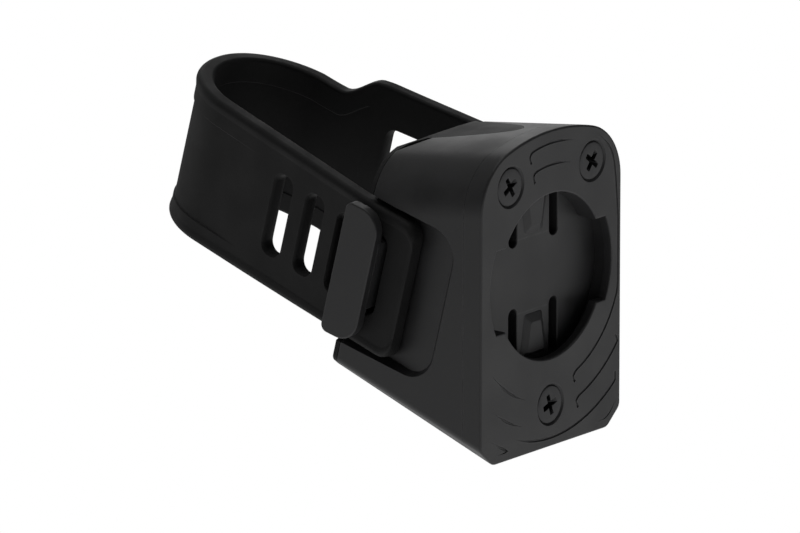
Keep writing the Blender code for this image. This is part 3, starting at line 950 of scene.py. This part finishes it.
@dataclass
class FrontPlate:
    """Plate with the bayonet socket, three countersinks and thin grooves."""

    shell: Shell
    screws: tuple[Pair, ...]
    back: float = 3.43
    edge: float = 0.03
    fillet: float = 0.4
    socket: float = 12.9
    mouth: float = 0.3
    notch: float = 14.9
    notch_half: float = 6.5
    lip: float = 1.4
    undercut: float = 15.2
    head: float = 3.0
    head_depth: float = 1.65
    head_sunk: float = 0.1
    shank: float = 1.35
    gap: float = 0.25

    def build(self) -> Piece:
        """Build the front plate."""
        rings = []
        for k in range(6):
            turn = math.radians(18.0 * k)
            depth = self.fillet * (1 - math.cos(turn))
            rings.append(self.shell.at_depth(depth, self.fillet * (1 - math.sin(turn))))
        rings += [self.shell.at_depth(self.back - self.edge), self.shell.at_depth(self.back, self.edge)]
        body = Bench.loft("front_plate_shell", rings)
        profile = [(self.socket + self.mouth, -1.0)]
        for k in range(6):
            turn = math.radians(18.0 * k)
            flare = self.mouth * (1 - math.sin(turn))
            profile.append((self.socket + flare, self.mouth * (1 - math.cos(turn)) + 0.001 * k))
        profile.append((self.socket, self.back + 1.0))
        Bench.join(body, Bench.turned("socket_tool", on_axis, profile, 144), Join.CUT)
        Bench.join(body, self._notches(), Join.CUT)
        for start in (-116.3, 63.7):
            Bench.join(body, self._undercut(start), Join.CUT)
        for x, z in self.screws:
            Bench.join(body, self._countersink(x, z), Join.CUT)
        for groove in self._grooves():
            Bench.join(body, groove.tool(), Join.CUT)
        Bench.tidy(body)
        Bench.shade(body, 30.0)
        return Piece(body, Body.MOUNT, Slot.PLASTIC, ("front_plate",))

    def _notches(self) -> bpy.types.Object:
        """Tool of the two notches by which the bayonet's tabs enter."""
        rings = []
        for flare, depth in ((0.3, -1.0), (0.3, 0.0), (0.12, 0.08), (0.0, 0.3), (0.0, self.back + 1.0)):
            radius = self.notch + flare
            half = math.degrees(math.asin((self.notch_half + flare) / radius))
            right = arc((0.0, 0.0), radius, -half, half, 20)
            rings.append([face_point(x, depth, z) for x, z in right + [(-x, -z) for x, z in right]])
        return Bench.loft("notch_tool", rings)

    def _undercut(self, start: float) -> bpy.types.Object:
        """Tool of one sector under the lip where a tab turns."""
        points = [(0.0, 0.0)] + arc((0.0, 0.0), self.undercut, start, start + 140.3, 56)
        return Bench.loft("undercut_tool", [[face_point(x, depth, z) for x, z in points]
                                            for depth in (self.lip, self.back + 1.0)])

    def _countersink(self, x: float, z: float) -> bpy.types.Object:
        """Tool of one countersunk hole."""
        head = self.head + self.gap
        profile = [(head + 0.12, -1.0), (head + 0.12, 0.0), (head + 0.03, 0.04), (head, 0.14),
                   (self.shank + self.gap, self.head_depth + self.head_sunk),
                   (self.shank + self.gap, self.back + 1.0)]
        return Bench.turned("countersink_tool", lambda a, b, y: face_point(x + a, y, z + b), profile, 60)

    @staticmethod
    def _grooves() -> list[Groove]:
        """Decorative grooves round the socket and along the bottom."""
        def ring(radius: float, start: float, end: float) -> list[Pair]:
            return arc((0.0, 0.0), radius, start, end, 40)

        long_right = [(11.5, 19.8), (12.9, 18.75), (14.2, 17.4), (15.05, 16.0), (15.5, 14.4), (15.85, 12.0),
                      (16.1, 9.4), (16.35, 7.0), (16.45, 5.0), (16.45, -4.4), (16.2, -6.0)]
        long_right += ring(17.25, -26.0, -69.0) + [(5.5, -16.9), (5.62, -17.4), (6.0, -17.9)]
        middle = [(15.9, -12.6)] + ring(21.4, -39.5, -71.5) + [(6.25, -21.0), (6.8, -22.1)]
        lower = [(15.9, -18.4)] + ring(25.4, -51.0, -109.0)
        return [
            Groove(swept(ring(20.9, 75.6, 103.5) + [(-5.25, 20.0), (-5.5, 19.4), (-5.0, 18.5)]), True),
            Groove(swept(ring(17.5, 75.0, 103.0) + [(-4.4, 16.7), (-4.55, 16.2), (-4.1, 15.3)]), True),
            Groove(swept(long_right), True),
            Groove(swept(middle)),
            Groove(swept(lower), False, True),
            Groove(swept(ring(19.2, -138.0, -110.0)), True, True),
            Groove(swept(ring(23.3, -127.0, -108.0)), True, True),
            Groove(swept([(-14.85, -22.9), (-12.5, -24.3), (-10.6, -25.25), (-11.5, -25.4), (-13.0, -25.42)]),
                   True, True),
            Groove(swept([(16.0, -23.0), (15.1, -24.2), (14.0, -25.1), (13.0, -25.35), (11.9, -25.4)]),
                   True, True),
        ]


@dataclass
class SocketDisc:
    """Disc at the bottom of the socket, slotted on both sides of two fingers."""

    front: float = 3.5
    thick: float = 1.7
    radius: float = 15.4
    finger_half: float = 3.95
    slot: float = 2.05
    slot_start: float = 4.85
    root: float = 5.8
    tip: float = 13.9

    def build(self) -> Piece:
        """Build the disc."""
        back = self.front + self.thick
        profile = [(self.radius - 0.1, self.front), (self.radius, self.front + 0.1), (self.radius, back - 0.1),
                   (self.radius - 0.1, back)]
        body = Bench.turned("socket_disc_floor", on_axis, profile, 144)
        far = self.tip + 0.3
        for up in (-1, 1):
            for side in (-1, 1):
                across = sorted((side * self.finger_half, side * (self.finger_half + self.slot)))
                low, high = sorted((up * self.slot_start, up * far))
                Bench.join(body, self._hole(across[0], across[1], low, high, self.slot / 2 - 0.01), Join.CUT)
            low, high = sorted((up * (self.root - 0.003), up * far))
            half = self.finger_half + 0.4
            Bench.join(body, self._hole(-half, half, low, high, 0.01), Join.CUT)
        Bench.tidy(body)
        Bench.shade(body, 30.0)
        return Piece(body, Body.MOUNT, Slot.PLASTIC, ("socket_disc",))

    def _hole(self, left: float, right: float, low: float, high: float, radius: float) -> bpy.types.Object:
        """Tool of a rounded hole through the disc, with a softened mouth."""
        rings = []
        for flare, depth in ((0.12, -1.0), (0.12, 0.0), (0.0, 0.14), (0.0, self.thick + 1.0)):
            if radius < 0.1:
                flare = 0.0
            points = rounded_box(left - flare, right + flare, low - flare, high + flare,
                                 (radius + flare,) * 4, 8)
            rings.append([face_point(x, self.front + depth, z) for x, z in points])
        return Bench.loft("disc_hole_tool", rings)


@dataclass
class DetentFinger:
    """Springy finger of the disc, with the ridge that holds a bayonet tab."""

    disc: SocketDisc
    up: int
    ridge_height: float = 0.65
    bend_length: float = 1.3

    def build(self) -> Piece:
        """Build the finger."""
        disc = self.disc
        back = disc.front + disc.thick
        edge = 0.12
        half = disc.finger_half
        rings = []
        for z, inset in ((disc.root, 0.0), (disc.root + self.bend_length * 0.5, 0.0),
                         (disc.root + self.bend_length, 0.0), (9.0, 0.0), (11.5, 0.0), (disc.tip - 0.4, 0.0),
                         (disc.tip - 0.15, 0.05), (disc.tip, 0.25)):
            low, high = disc.front + inset * 0.5, back - inset * 0.5
            side = half - inset
            outline = [(-side, low + edge), (-side + edge, low), (side - edge, low), (side, low + edge),
                       (side, high - edge), (side - edge, high), (-side + edge, high), (-side, high - edge)]
            rings.append([face_point(x, y, self.up * z) for x, y in outline])
        word = "upper" if self.up > 0 else "lower"
        body = Bench.loft(f"detent_finger_{word}_spring", rings)
        Bench.join(body, self._ridge(), Join.ADD)
        Bench.tidy(body)
        Bench.shade(body, 28.0)
        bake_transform(body)
        return Piece(body, None, Slot.PLASTIC, (f"detent_finger_{word}",))

    def _ridge(self) -> bpy.types.Object:
        """Tapered ridge on the finger's front."""
        front = self.disc.front
        rings = []
        for share, depth in ((-0.12, 0.5), (-0.12, 0.0), (0.0, -0.12), (0.86, -self.ridge_height + 0.15),
                             (1.0, -self.ridge_height + 0.04), (1.12, -self.ridge_height)):
            near, far = 6.4 + 1.1 * share, 12.9 - 0.6 * share
            half_near, half_far = 2.0 - 0.8 * share, 3.2 - 1.1 * share
            corners = [(-half_near, near), (half_near, near), (half_far, far), (-half_far, far)]
            rings.append([face_point(x, front + depth, self.up * z) for x, z in eased_corners(corners, 0.45)])
        return Bench.loft("ridge_tool", rings)


def eased_corners(corners: Sequence[Pair], reach: float, steps: int = 4) -> list[Pair]:
    """Round the corners of a closed outline.

    Args:
        corners: Corners in order.
        reach: Distance from each corner at which its rounding starts.
        steps: Chords in a rounding.

    Returns:
        The rounded outline.
    """
    points: list[Pair] = []
    count = len(corners)
    for i, corner in enumerate(corners):
        spot = Vector(corner)
        start = spot + (Vector(corners[i - 1]) - spot).normalized() * reach
        end = spot + (Vector(corners[(i + 1) % count]) - spot).normalized() * reach
        for k in range(steps + 1):
            t = k / steps
            point = start * (1 - t) ** 2 + spot * 2 * t * (1 - t) + end * t**2
            points.append((point.x, point.y))
    return points


@dataclass
class FaceScrew:
    """Countersunk screw with a cross recess."""

    spot: str
    x: float
    z: float
    head: float = 3.0
    shank: float = 1.35
    turn: float = 30.0

    def build(self) -> Piece:
        """Build the screw."""
        profile = [(1.6, 0.1), (2.4, 0.115), (2.8, 0.17), (2.95, 0.27), (3.0, 0.42), (2.9, 0.6), (1.4, 1.72),
                   (self.shank, 1.8), (self.shank, 8.0), (self.shank - 0.25, 8.2)]
        body = Bench.turned(f"face_screw_{self.spot}_head", self._place, profile, 72)
        for turn, floor in ((self.turn, 1.35), (self.turn + 90.0, 1.41)):
            Bench.join(body, self._arm(math.radians(turn), floor), Join.CUT)
        Bench.tidy(body)
        Bench.shade(body, 25.0)
        return Piece(body, Body.MOUNT, Slot.STEEL, (f"face_screw_{self.spot}",))

    def _place(self, a: float, b: float, depth: float) -> Vector:
        """Place a point across and along the screw's axis."""
        return face_point(self.x + a, depth, self.z + b)

    def _arm(self, angle: float, floor: float) -> bpy.types.Object:
        """Tool of one bar of the cross recess, at an angle in radians and down to a floor depth."""
        along = Vector((math.cos(angle), math.sin(angle)))
        across = Vector((-along.y, along.x))
        rings = []
        for half, width, depth in ((1.75, 0.5, -0.5), (1.7, 0.48, 0.1), (1.58, 0.4, 0.2), (0.7, 0.28, floor)):
            ring = []
            for a, b in eased_corners([(half, width), (-half, width), (-half, -width), (half, -width)], 0.2):
                spot = along * a + across * b
                ring.append(self._place(spot.x, spot.y, depth))
            rings.append(ring)
        return Bench.loft("recess_arm_tool", rings)


@dataclass
class SaddlePad:
    """Rubber saddle in the shell's rear that grips the seatpost, with a tongue on top."""

    shell: Shell
    strap: StrapPath
    tongue: Tongue
    face: float = 15.8
    thick: float = 1.2
    gap: float = 0.12
    band: float = 0.9

    def build(self) -> Piece:
        """Build the pad."""
        shell = self.shell
        far = shell.rear + shell.rear_span
        body = Bench.loft("saddle_pad_rubber", [shell.at_post(-22.0), shell.at_post(far)])
        Bench.join(body, shell.behind(self.gap), Join.CUT)
        lining = post_cylinder(self.face + self.thick, 40.0)
        bounds = Bench.loft("lining_bounds", [shell.at_post(-22.0, 0.4), shell.at_post(far, 0.4)])
        Bench.join(lining, bounds, Join.KEEP)
        Bench.join(body, lining, Join.ADD)
        tongue = self.tongue.between(0.0, 4.0, far)
        core = self.tongue.between(self.tongue.depth, 1.0, far + 1.0)
        Bench.join(core, shell.behind(self.gap + 0.1), Join.KEEP)
        Bench.join(tongue, core, Join.CUT)
        Bench.join(tongue, self.tongue.plan(0.0), Join.KEEP)
        Bench.join(body, tongue, Join.ADD)
        Bench.join(body, shell.behind(self.band), Join.KEEP)
        Bench.join(body, post_cylinder(self.face), Join.CUT)
        for side in Side:
            Bench.join(body, SideRecess(self.strap, side).tool(shell.half_width), Join.CUT)
        Bench.tidy(body)
        Bench.shade(body, 30.0)
        return Piece(body, Body.MOUNT, Slot.RUBBER, ("saddle_pad",))


@dataclass
class Hook:
    """Plate on a neck over which a strap slot is pulled."""

    side: Side
    inner: float = 18.6
    outer: float = 20.3
    front: float = -19.5
    rear: float = -12.9
    high: float = 11.1
    low: float = -10.6
    edge: float = 0.25
    tenon_end: float = 10.4

    def build(self) -> Piece:
        """Build the hook."""
        rings = []
        for k in range(5):
            turn = math.radians(22.5 * k)
            rings.append(self._ring(self.inner + self.edge * (1 - math.cos(turn)), self.edge * (1 - math.sin(turn))))
        for k in range(5):
            turn = math.radians(22.5 * k)
            rings.append(self._ring(self.outer - self.edge * (1 - math.sin(turn)), self.edge * (1 - math.cos(turn))))
        node = "strap_hook" if self.side is Side.LEFT else "anchor_hook"
        body = Bench.loft(node + "_plate", rings)
        Bench.join(body, self.neck(), Join.ADD)
        Bench.join(body, self.pin_hole(), Join.CUT)
        Bench.tidy(body)
        Bench.shade(body, 30.0)
        return Piece(body, Body.MOUNT, Slot.PLASTIC, (node,))

    def _ring(self, x: float, inset: float) -> Ring:
        """Outline of the plate at x, inset."""
        points = rounded_box(self.front + inset, self.rear - inset, self.low + inset, self.high - inset,
                             (1.2 - inset, 1.2 - inset, 3.6 - inset, 3.6 - inset), 9)
        return [post_point(self.side.value * x, n, h) for n, h in points]

    def neck(self, margin: float = 0.0) -> bpy.types.Object:
        """Neck and tenon behind the plate, widened by a margin."""
        points = rounded_box(-19.6 - margin, -16.9 + margin, -4.9 - margin, 6.6 + margin, (0.6,) * 4, 5)
        rings = []
        for x in (self.tenon_end - margin, self.inner + 0.5):
            rings.append([post_point(self.side.value * x, n, h) for n, h in points])
        return Bench.loft("neck_tool", rings)

    def pin_hole(self) -> bpy.types.Object:
        """Tool of the cross pin's hole, open to the rear."""
        rings = []
        for n in (-24.8, 0.0):
            angles = [2 * math.pi * i / 28 for i in range(28)]
            rings.append([post_point(self.side.value * 13.05 + 1.2 * math.cos(a), n, 0.85 + 1.2 * math.sin(a))
                          for a in angles])
        return Bench.loft("pin_hole_tool", rings)


@dataclass
class Strap:
    """Rubber strap with beaded rims, four slots on one arm, and a window and a slot on the other."""

    path: StrapPath
    bead: float = 0.95
    inner_edge: float = 0.6
    sunk: float = 0.2
    panel: float = 0.24
    inner_panel: float = 0.2
    slot_half: float = 1.8
    slot_low: float = -5.9
    slot_high: float = 7.0
    slot_first: float = -18.3
    slot_pitch: float = 7.0
    window: tuple[float, float, float, float] = (-4.3, 4.8, -8.8, 8.3)

    def build(self) -> Piece:
        """Build the strap."""
        rings = self._arm_rings(Side.RIGHT)[::-1] + self._end_rings() + self._arm_rings(Side.LEFT)
        body = Bench.loft("rubber_strap", rings)
        for i in range(4):
            centre = self.slot_first + self.slot_pitch * i
            Bench.join(body, self._hole(Side.LEFT, centre, self.slot_half, self.slot_low, self.slot_high, 1.5),
                       Join.CUT)
        Bench.join(body, self._hole(Side.RIGHT, self.slot_first, self.slot_half, self.slot_low, self.slot_high,
                                    1.5), Join.CUT)
        front, rear, low, high = self.window
        Bench.join(body, self._hole(Side.RIGHT, (front + rear) / 2, (rear - front) / 2, low, high, 1.4), Join.CUT)
        Bench.tidy(body, 0.002)
        Bench.shade(body, 38.0)
        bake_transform(body)
        return Piece(body, None, Slot.RUBBER, ("strap_loop", "strap_free_end"))

    def _arm_rings(self, side: Side) -> list[Ring]:
        """Rings of one arm from the round end to the tip."""
        path = self.path
        flare = math.radians(path.flare)
        start = path.centre + path.radius * math.sin(flare)
        stop = path.tip + path.corner
        stops = [start + (stop - start) * i / 70 for i in range(1, 71)]
        rings = [self._ring(side, n, 1.0) for n in stops]
        for i in range(1, 9):
            n = path.tip + path.corner * (1 - math.sin(math.pi / 2 * i / 8))
            end = max(0.0, 0.8 - (n - path.tip)) / 0.8
            rings.append(self._ring(side, n, 1.0 - 0.35 * (1 - math.sqrt(max(0.0, 1 - end**2)))))
        return rings

    def _ring(self, side: Side, n: float, fullness: float) -> Ring:
        """Ring of an arm at n, thinned by a fullness."""
        flare = math.radians(self.path.flare)
        low, high = self._edges(n, side)
        return self._section((side.value * self.path.outer(n), n), (side.value * math.cos(flare), math.sin(flare)),
                             low, high, side, fullness)

    def _edges(self, n: float, side: Side) -> Pair:
        """Edges of the strap at n, drawn in round the tip's corners."""
        path = self.path
        inside = max(0.0, path.corner - (n - path.tip))
        shrink = path.corner - math.sqrt(max(0.0, path.corner**2 - inside**2))
        low, high = path.band(n, side.value)
        return low + shrink, high - shrink

    def _end_rings(self) -> list[Ring]:
        """Rings round the strap's end, from the right arm to the left one."""
        path = self.path
        rings = []
        for i in range(49):
            angle = math.radians(path.flare + (180.0 - 2 * path.flare) * i / 48)
            n = path.centre + path.radius * math.sin(angle)
            right = path.band(n, 1)
            left = path.band(n, -1)
            share = ease((i / 48 - 0.42) / 0.16)
            low = right[0] + (left[0] - right[0]) * share
            high = right[1] + (left[1] - right[1]) * share
            side = Side.RIGHT if i < 24 else Side.LEFT
            rings.append(self._section((path.radius * math.cos(angle), n), (math.cos(angle), math.sin(angle)),
                                       low, high, side, 1.0))
        return rings

    def _section(self, place: Pair, out: Pair, low: float, high: float, side: Side, fullness: float) -> Ring:
        """Closed section of the strap.

        Args:
            place: Outer face as (x, n).
            out: Its outward normal as (x, n).
            low: Height of the lower edge.
            high: Height of the upper edge.
            side: Which arm; not used.
            fullness: Share of the thickness that is left.

        Returns:
            The section's points.
        """
        thick = self.path.thick
        n = place[1]
        outer = self.sunk + self.panel * ease((n - 8.0) / 9.0)
        inner = self.inner_panel * ease((n - 8.2) / 0.5)
        low_line, high_line = low + 3.3, high - 4.0
        middle = (low_line + high_line) / 2
        upward: list[Pair] = [(0.0, low + self.bead), (self.sunk * 0.5, low + 1.55), (self.sunk, low + 1.85),
                              (self.sunk, low_line - 0.1), ((outer + self.sunk) / 2, low_line),
                              (outer, low_line + 0.1), (outer, (low_line + middle) / 2), (outer, middle),
                              (outer, (middle + high_line) / 2), (outer, high_line - 0.1),
                              ((outer + self.sunk) / 2, high_line), (self.sunk, high_line + 0.1),
                              (self.sunk, high - 1.85), (self.sunk * 0.5, high - 1.55)]
        crown = [(self.bead * (1 - math.cos(a)), high - self.bead * (1 - math.sin(a)))
                 for a in [math.pi / 2 * k / 6 for k in range(7)]]
        crown += [(thick - self.inner_edge * (1 - math.cos(a)), high - self.inner_edge * (1 - math.sin(a)))
                  for a in [math.pi / 2 * (1 - k / 5) for k in range(6)]]
        downward = [(thick, high_line + 0.1), (thick - inner, high_line - 0.1),
                    (thick - inner, middle), (thick - inner, low_line + 0.1), (thick, low_line - 0.1)]
        foot = [(thick - self.inner_edge * (1 - math.cos(a)), low + self.inner_edge * (1 - math.sin(a)))
                for a in [math.pi / 2 * k / 5 for k in range(6)]]
        foot += [(self.bead * (1 - math.cos(a)), low + self.bead * (1 - math.sin(a)))
                 for a in [math.pi / 2 * (1 - k / 6) for k in range(6)]]
        ring = []
        for inward, h in upward + crown + downward + foot:
            depth = thick / 2 + (inward - thick / 2) * fullness
            level = (low + high) / 2 + (h - (low + high) / 2) * (1 - 0.03 * (1 - fullness))
            ring.append(post_point(place[0] - out[0] * depth, n - out[1] * depth, level))
        return ring

    def _hole(self, side: Side, centre: float, half: float, low: float, high: float,
              radius: float) -> bpy.types.Object:
        """Tool of a hole through an arm, with softened rims on both faces."""
        thick = self.path.thick
        rings = []
        for flare, out in ((1.3, 1.0), (1.0, 0.07), (0.5, -0.31), (0.2, -0.57), (0.05, -0.86), (0.0, -1.23),
                           (0.0, 0.93 - thick), (0.12, 0.57 - thick), (0.36, 0.21 - thick),
                           (0.8, -0.17 - thick), (0.85, -1.0 - thick)):
            edge = flare * 0.55
            points = rounded_box(-half - edge, half + edge, low - edge, high + edge, (radius + edge,) * 4, 7)
            rings.append([self.path.beside(side, centre, u, out, h) for u, h in points])
        return Bench.loft("strap_hole_tool", rings)


@dataclass(frozen=True)
class Softbox:
    """Square area light."""

    name: str
    place: tuple[float, float, float]
    width: float
    power: float

    def light(self, aim: Vector) -> None:
        """Hang the light so that it faces a point."""
        lamp = bpy.data.lights.new(self.name, "AREA")
        lamp.shape = "SQUARE"
        lamp.size = self.width
        lamp.energy = self.power
        holder = bpy.data.objects.new(self.name, lamp)
        holder.location = self.place
        holder.rotation_euler = (Vector(self.place) - aim).to_track_quat("Z", "Y").to_euler()
        holder.visible_camera = False
        bpy.context.scene.collection.objects.link(holder)


@dataclass
class Studio:
    """White room with a pale floor, soft lights and the camera."""

    aim: Vector = field(default_factory=lambda: Vector((-0.0140, -0.0208, -0.0031)))
    floor_level: float = -0.075
    softboxes: tuple[Softbox, ...] = (
        Softbox("top_softbox", (0.05, 0.1, 0.75), 0.7, 1.6),
        Softbox("front_softbox", (0.35, -0.8, 0.35), 0.6, 0.3),
        Softbox("rear_softbox", (1.0, 0.75, 0.42), 0.8, 2.7),
        Softbox("back_fill", (-0.1, 1.2, 0.25), 0.7, 1.6),
    )

    def build(self) -> None:
        """Build the room."""
        self._floor()
        self._world()
        for softbox in self.softboxes:
            softbox.light(self.aim)
        self._camera()
        bpy.context.scene.view_settings.view_transform = "Standard"

    def _floor(self) -> None:
        """Lay the floor: an even white glow to the camera, and to everything else a painted glow that stands in for
        a lit floor, dimmer to the rear left and fading far to the rear right.
        """
        Bench.clear()
        bpy.ops.mesh.primitive_plane_add(size=60.0, location=(0.0, 0.0, self.floor_level))
        floor = bpy.context.active_object
        floor.name = "studio_floor"
        material = bpy.data.materials.new("pale_floor")
        material.use_nodes = True
        desk = Desk(material.node_tree)
        result = material.node_tree.nodes["Material Output"]
        material.node_tree.nodes.remove(material.node_tree.nodes["Principled BSDF"])
        place = desk.node("ShaderNodeSeparateXYZ", Vector=desk.node("ShaderNodeTexCoord").outputs["Object"])
        across = desk.maths("SUBTRACT", place.outputs["X"], place.outputs["Y"])
        along = desk.maths("ADD", place.outputs["X"], place.outputs["Y"])
        # Painted light: the glow's strength stands in for a lit floor, with painted shade to the rear left and far
        # rear right.
        tone = desk.maths("MULTIPLY", desk.spread(across, -0.45, 0.45, 0.55, 0.85),
                          desk.spread(along, 0.14, 0.3, 1.0, 0.2))
        painted_floor_glow = desk.node("ShaderNodeEmission", Strength=tone)
        for_camera = desk.node("ShaderNodeEmission", Strength=1.0)
        seen = desk.node("ShaderNodeLightPath").outputs["Is Camera Ray"]
        mix = desk.node("ShaderNodeMixShader")
        desk.feed(mix.inputs[0], seen)
        desk.feed(mix.inputs[1], painted_floor_glow.outputs[0])
        desk.feed(mix.inputs[2], for_camera.outputs[0])
        desk.feed(result.inputs["Surface"], mix.outputs[0])
        floor.data.materials.append(material)

    @staticmethod
    def _world() -> None:
        """Fill the room with even light, white to the camera."""
        world = bpy.data.worlds.new("white_room")
        world.use_nodes = True
        bpy.context.scene.world = world
        desk = Desk(world.node_tree)
        background = world.node_tree.nodes["Background"]
        seen = desk.node("ShaderNodeLightPath").outputs["Is Camera Ray"]
        way = desk.node("ShaderNodeSeparateXYZ", Vector=desk.node("ShaderNodeTexCoord").outputs["Generated"])
        sky = desk.spread(way.outputs["Z"], 0.0, 1.0, 0.015, 0.04)
        strength = desk.node("ShaderNodeMix", {"data_type": "FLOAT"})
        desk.feed(strength.inputs[0], seen)
        desk.feed(strength.inputs[2], sky)
        desk.feed(strength.inputs[3], 1.0)
        desk.feed(background.inputs["Color"], (1.0, 1.0, 1.0, 1.0))
        desk.feed(background.inputs["Strength"], strength.outputs[0])

    def _camera(self) -> None:
        """Set up the long lens, above and to the left of the socket face."""
        lens = bpy.data.cameras.new("long_lens")
        lens.lens = 1100.0
        lens.shift_x = -0.0012
        lens.shift_y = 0.0008
        lens.sensor_width = 36.0
        lens.clip_end = 100.0
        camera = bpy.data.objects.new("long_lens", lens)
        right = Vector((0.6179, -0.7862, 0.0031))
        up = Vector((0.2041, 0.1642, 0.9651))
        back = right.cross(up).normalized()
        up = back.cross(right).normalized()
        turn = Matrix((right.normalized(), up, back)).transposed().to_4x4()
        camera.matrix_world = Matrix.Translation(Vector((-2.8229, -2.2245, 0.9658))) @ turn
        bpy.context.scene.collection.objects.link(camera)
        bpy.context.scene.camera = camera


@dataclass
class SeatpostMount:
    """The whole mount."""

    shell: Shell = field(default_factory=Shell)
    strap: StrapPath = field(default_factory=StrapPath)
    screws: tuple[tuple[str, float, float], ...] = (("upper_left", -10.05, 15.95), ("upper_right", 10.05, 15.95),
                                                    ("lower", 0.0, -20.2))

    def build(self, plastic: bpy.types.Material, rubber: bpy.types.Material, steel: bpy.types.Material,
              brass: bpy.types.Material) -> None:
        """Build every piece and dress it.

        Args:
            plastic: Finish of the moulded pieces.
            rubber: Finish of the strap and the pad.
            steel: Finish of the screws and pins.
            brass: Finish of the threaded inserts.
        """
        spots = tuple((x, z) for _, x, z in self.screws)
        tongue = Tongue(self.shell)
        disc = SocketDisc()
        Housing(self.shell, self.strap, tongue, spots).build().settle(plastic)
        FrontPlate(self.shell, spots).build().settle(plastic)
        disc.build().settle(plastic)
        for up in (1, -1):
            DetentFinger(disc, up).build().settle(plastic)
        for (name, x, z), turn in zip(self.screws, (30.0, 52.0, 18.0)):
            FaceScrew(name, x, z, turn=turn).build().settle(steel)
        for side in Side:
            Hook(side).build().settle(plastic)
        SaddlePad(self.shell, self.strap, tongue).build().settle(rubber)
        Strap(self.strap).build().settle(rubber)
        for node, finish in (("threaded_insert_upper_left", brass), ("threaded_insert_upper_right", brass),
                             ("threaded_insert_lower", brass), ("hook_pin_left", steel), ("hook_pin_right", steel)):
            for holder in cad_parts[node].material_slots:
                holder.material = finish


PLASTIC = MouldedSurface("moulded_black_finish", (0.021, 0.021, 0.022), (0.075, 0.075, 0.078), 0.5, 5200.0, 0.02,
                         0.05, 0.35, 0.5, 0.05)
RUBBER = MouldedSurface("strap_rubber_finish", (0.006, 0.006, 0.0063), (0.02, 0.02, 0.021), 0.67, 3600.0, 0.03,
                        0.06, 0.5, 0.35, 0.05, specular=0.31, sheen=0.02)
STEEL = TurnedMetal("blackened_steel_finish", (0.05, 0.05, 0.051), (0.17, 0.17, 0.172), 0.4,
                    tuple(face_point(0.0, 0.0, 0.0)))
BRASS = TurnedMetal("insert_brass_finish", (0.62, 0.43, 0.16), (0.75, 0.6, 0.3), 0.34,
                    tuple(face_point(0.0, 0.0, 0.0)))


def main() -> None:
    """Build the mount and its studio."""
    logging.basicConfig(level=logging.INFO, format="%(name)s: %(message)s")
    groups = SurfaceGroups()
    SeatpostMount().build(PLASTIC.make(groups), RUBBER.make(groups), STEEL.make(groups), BRASS.make(groups))
    Studio().build()


if __name__ == "__main__":
    main()
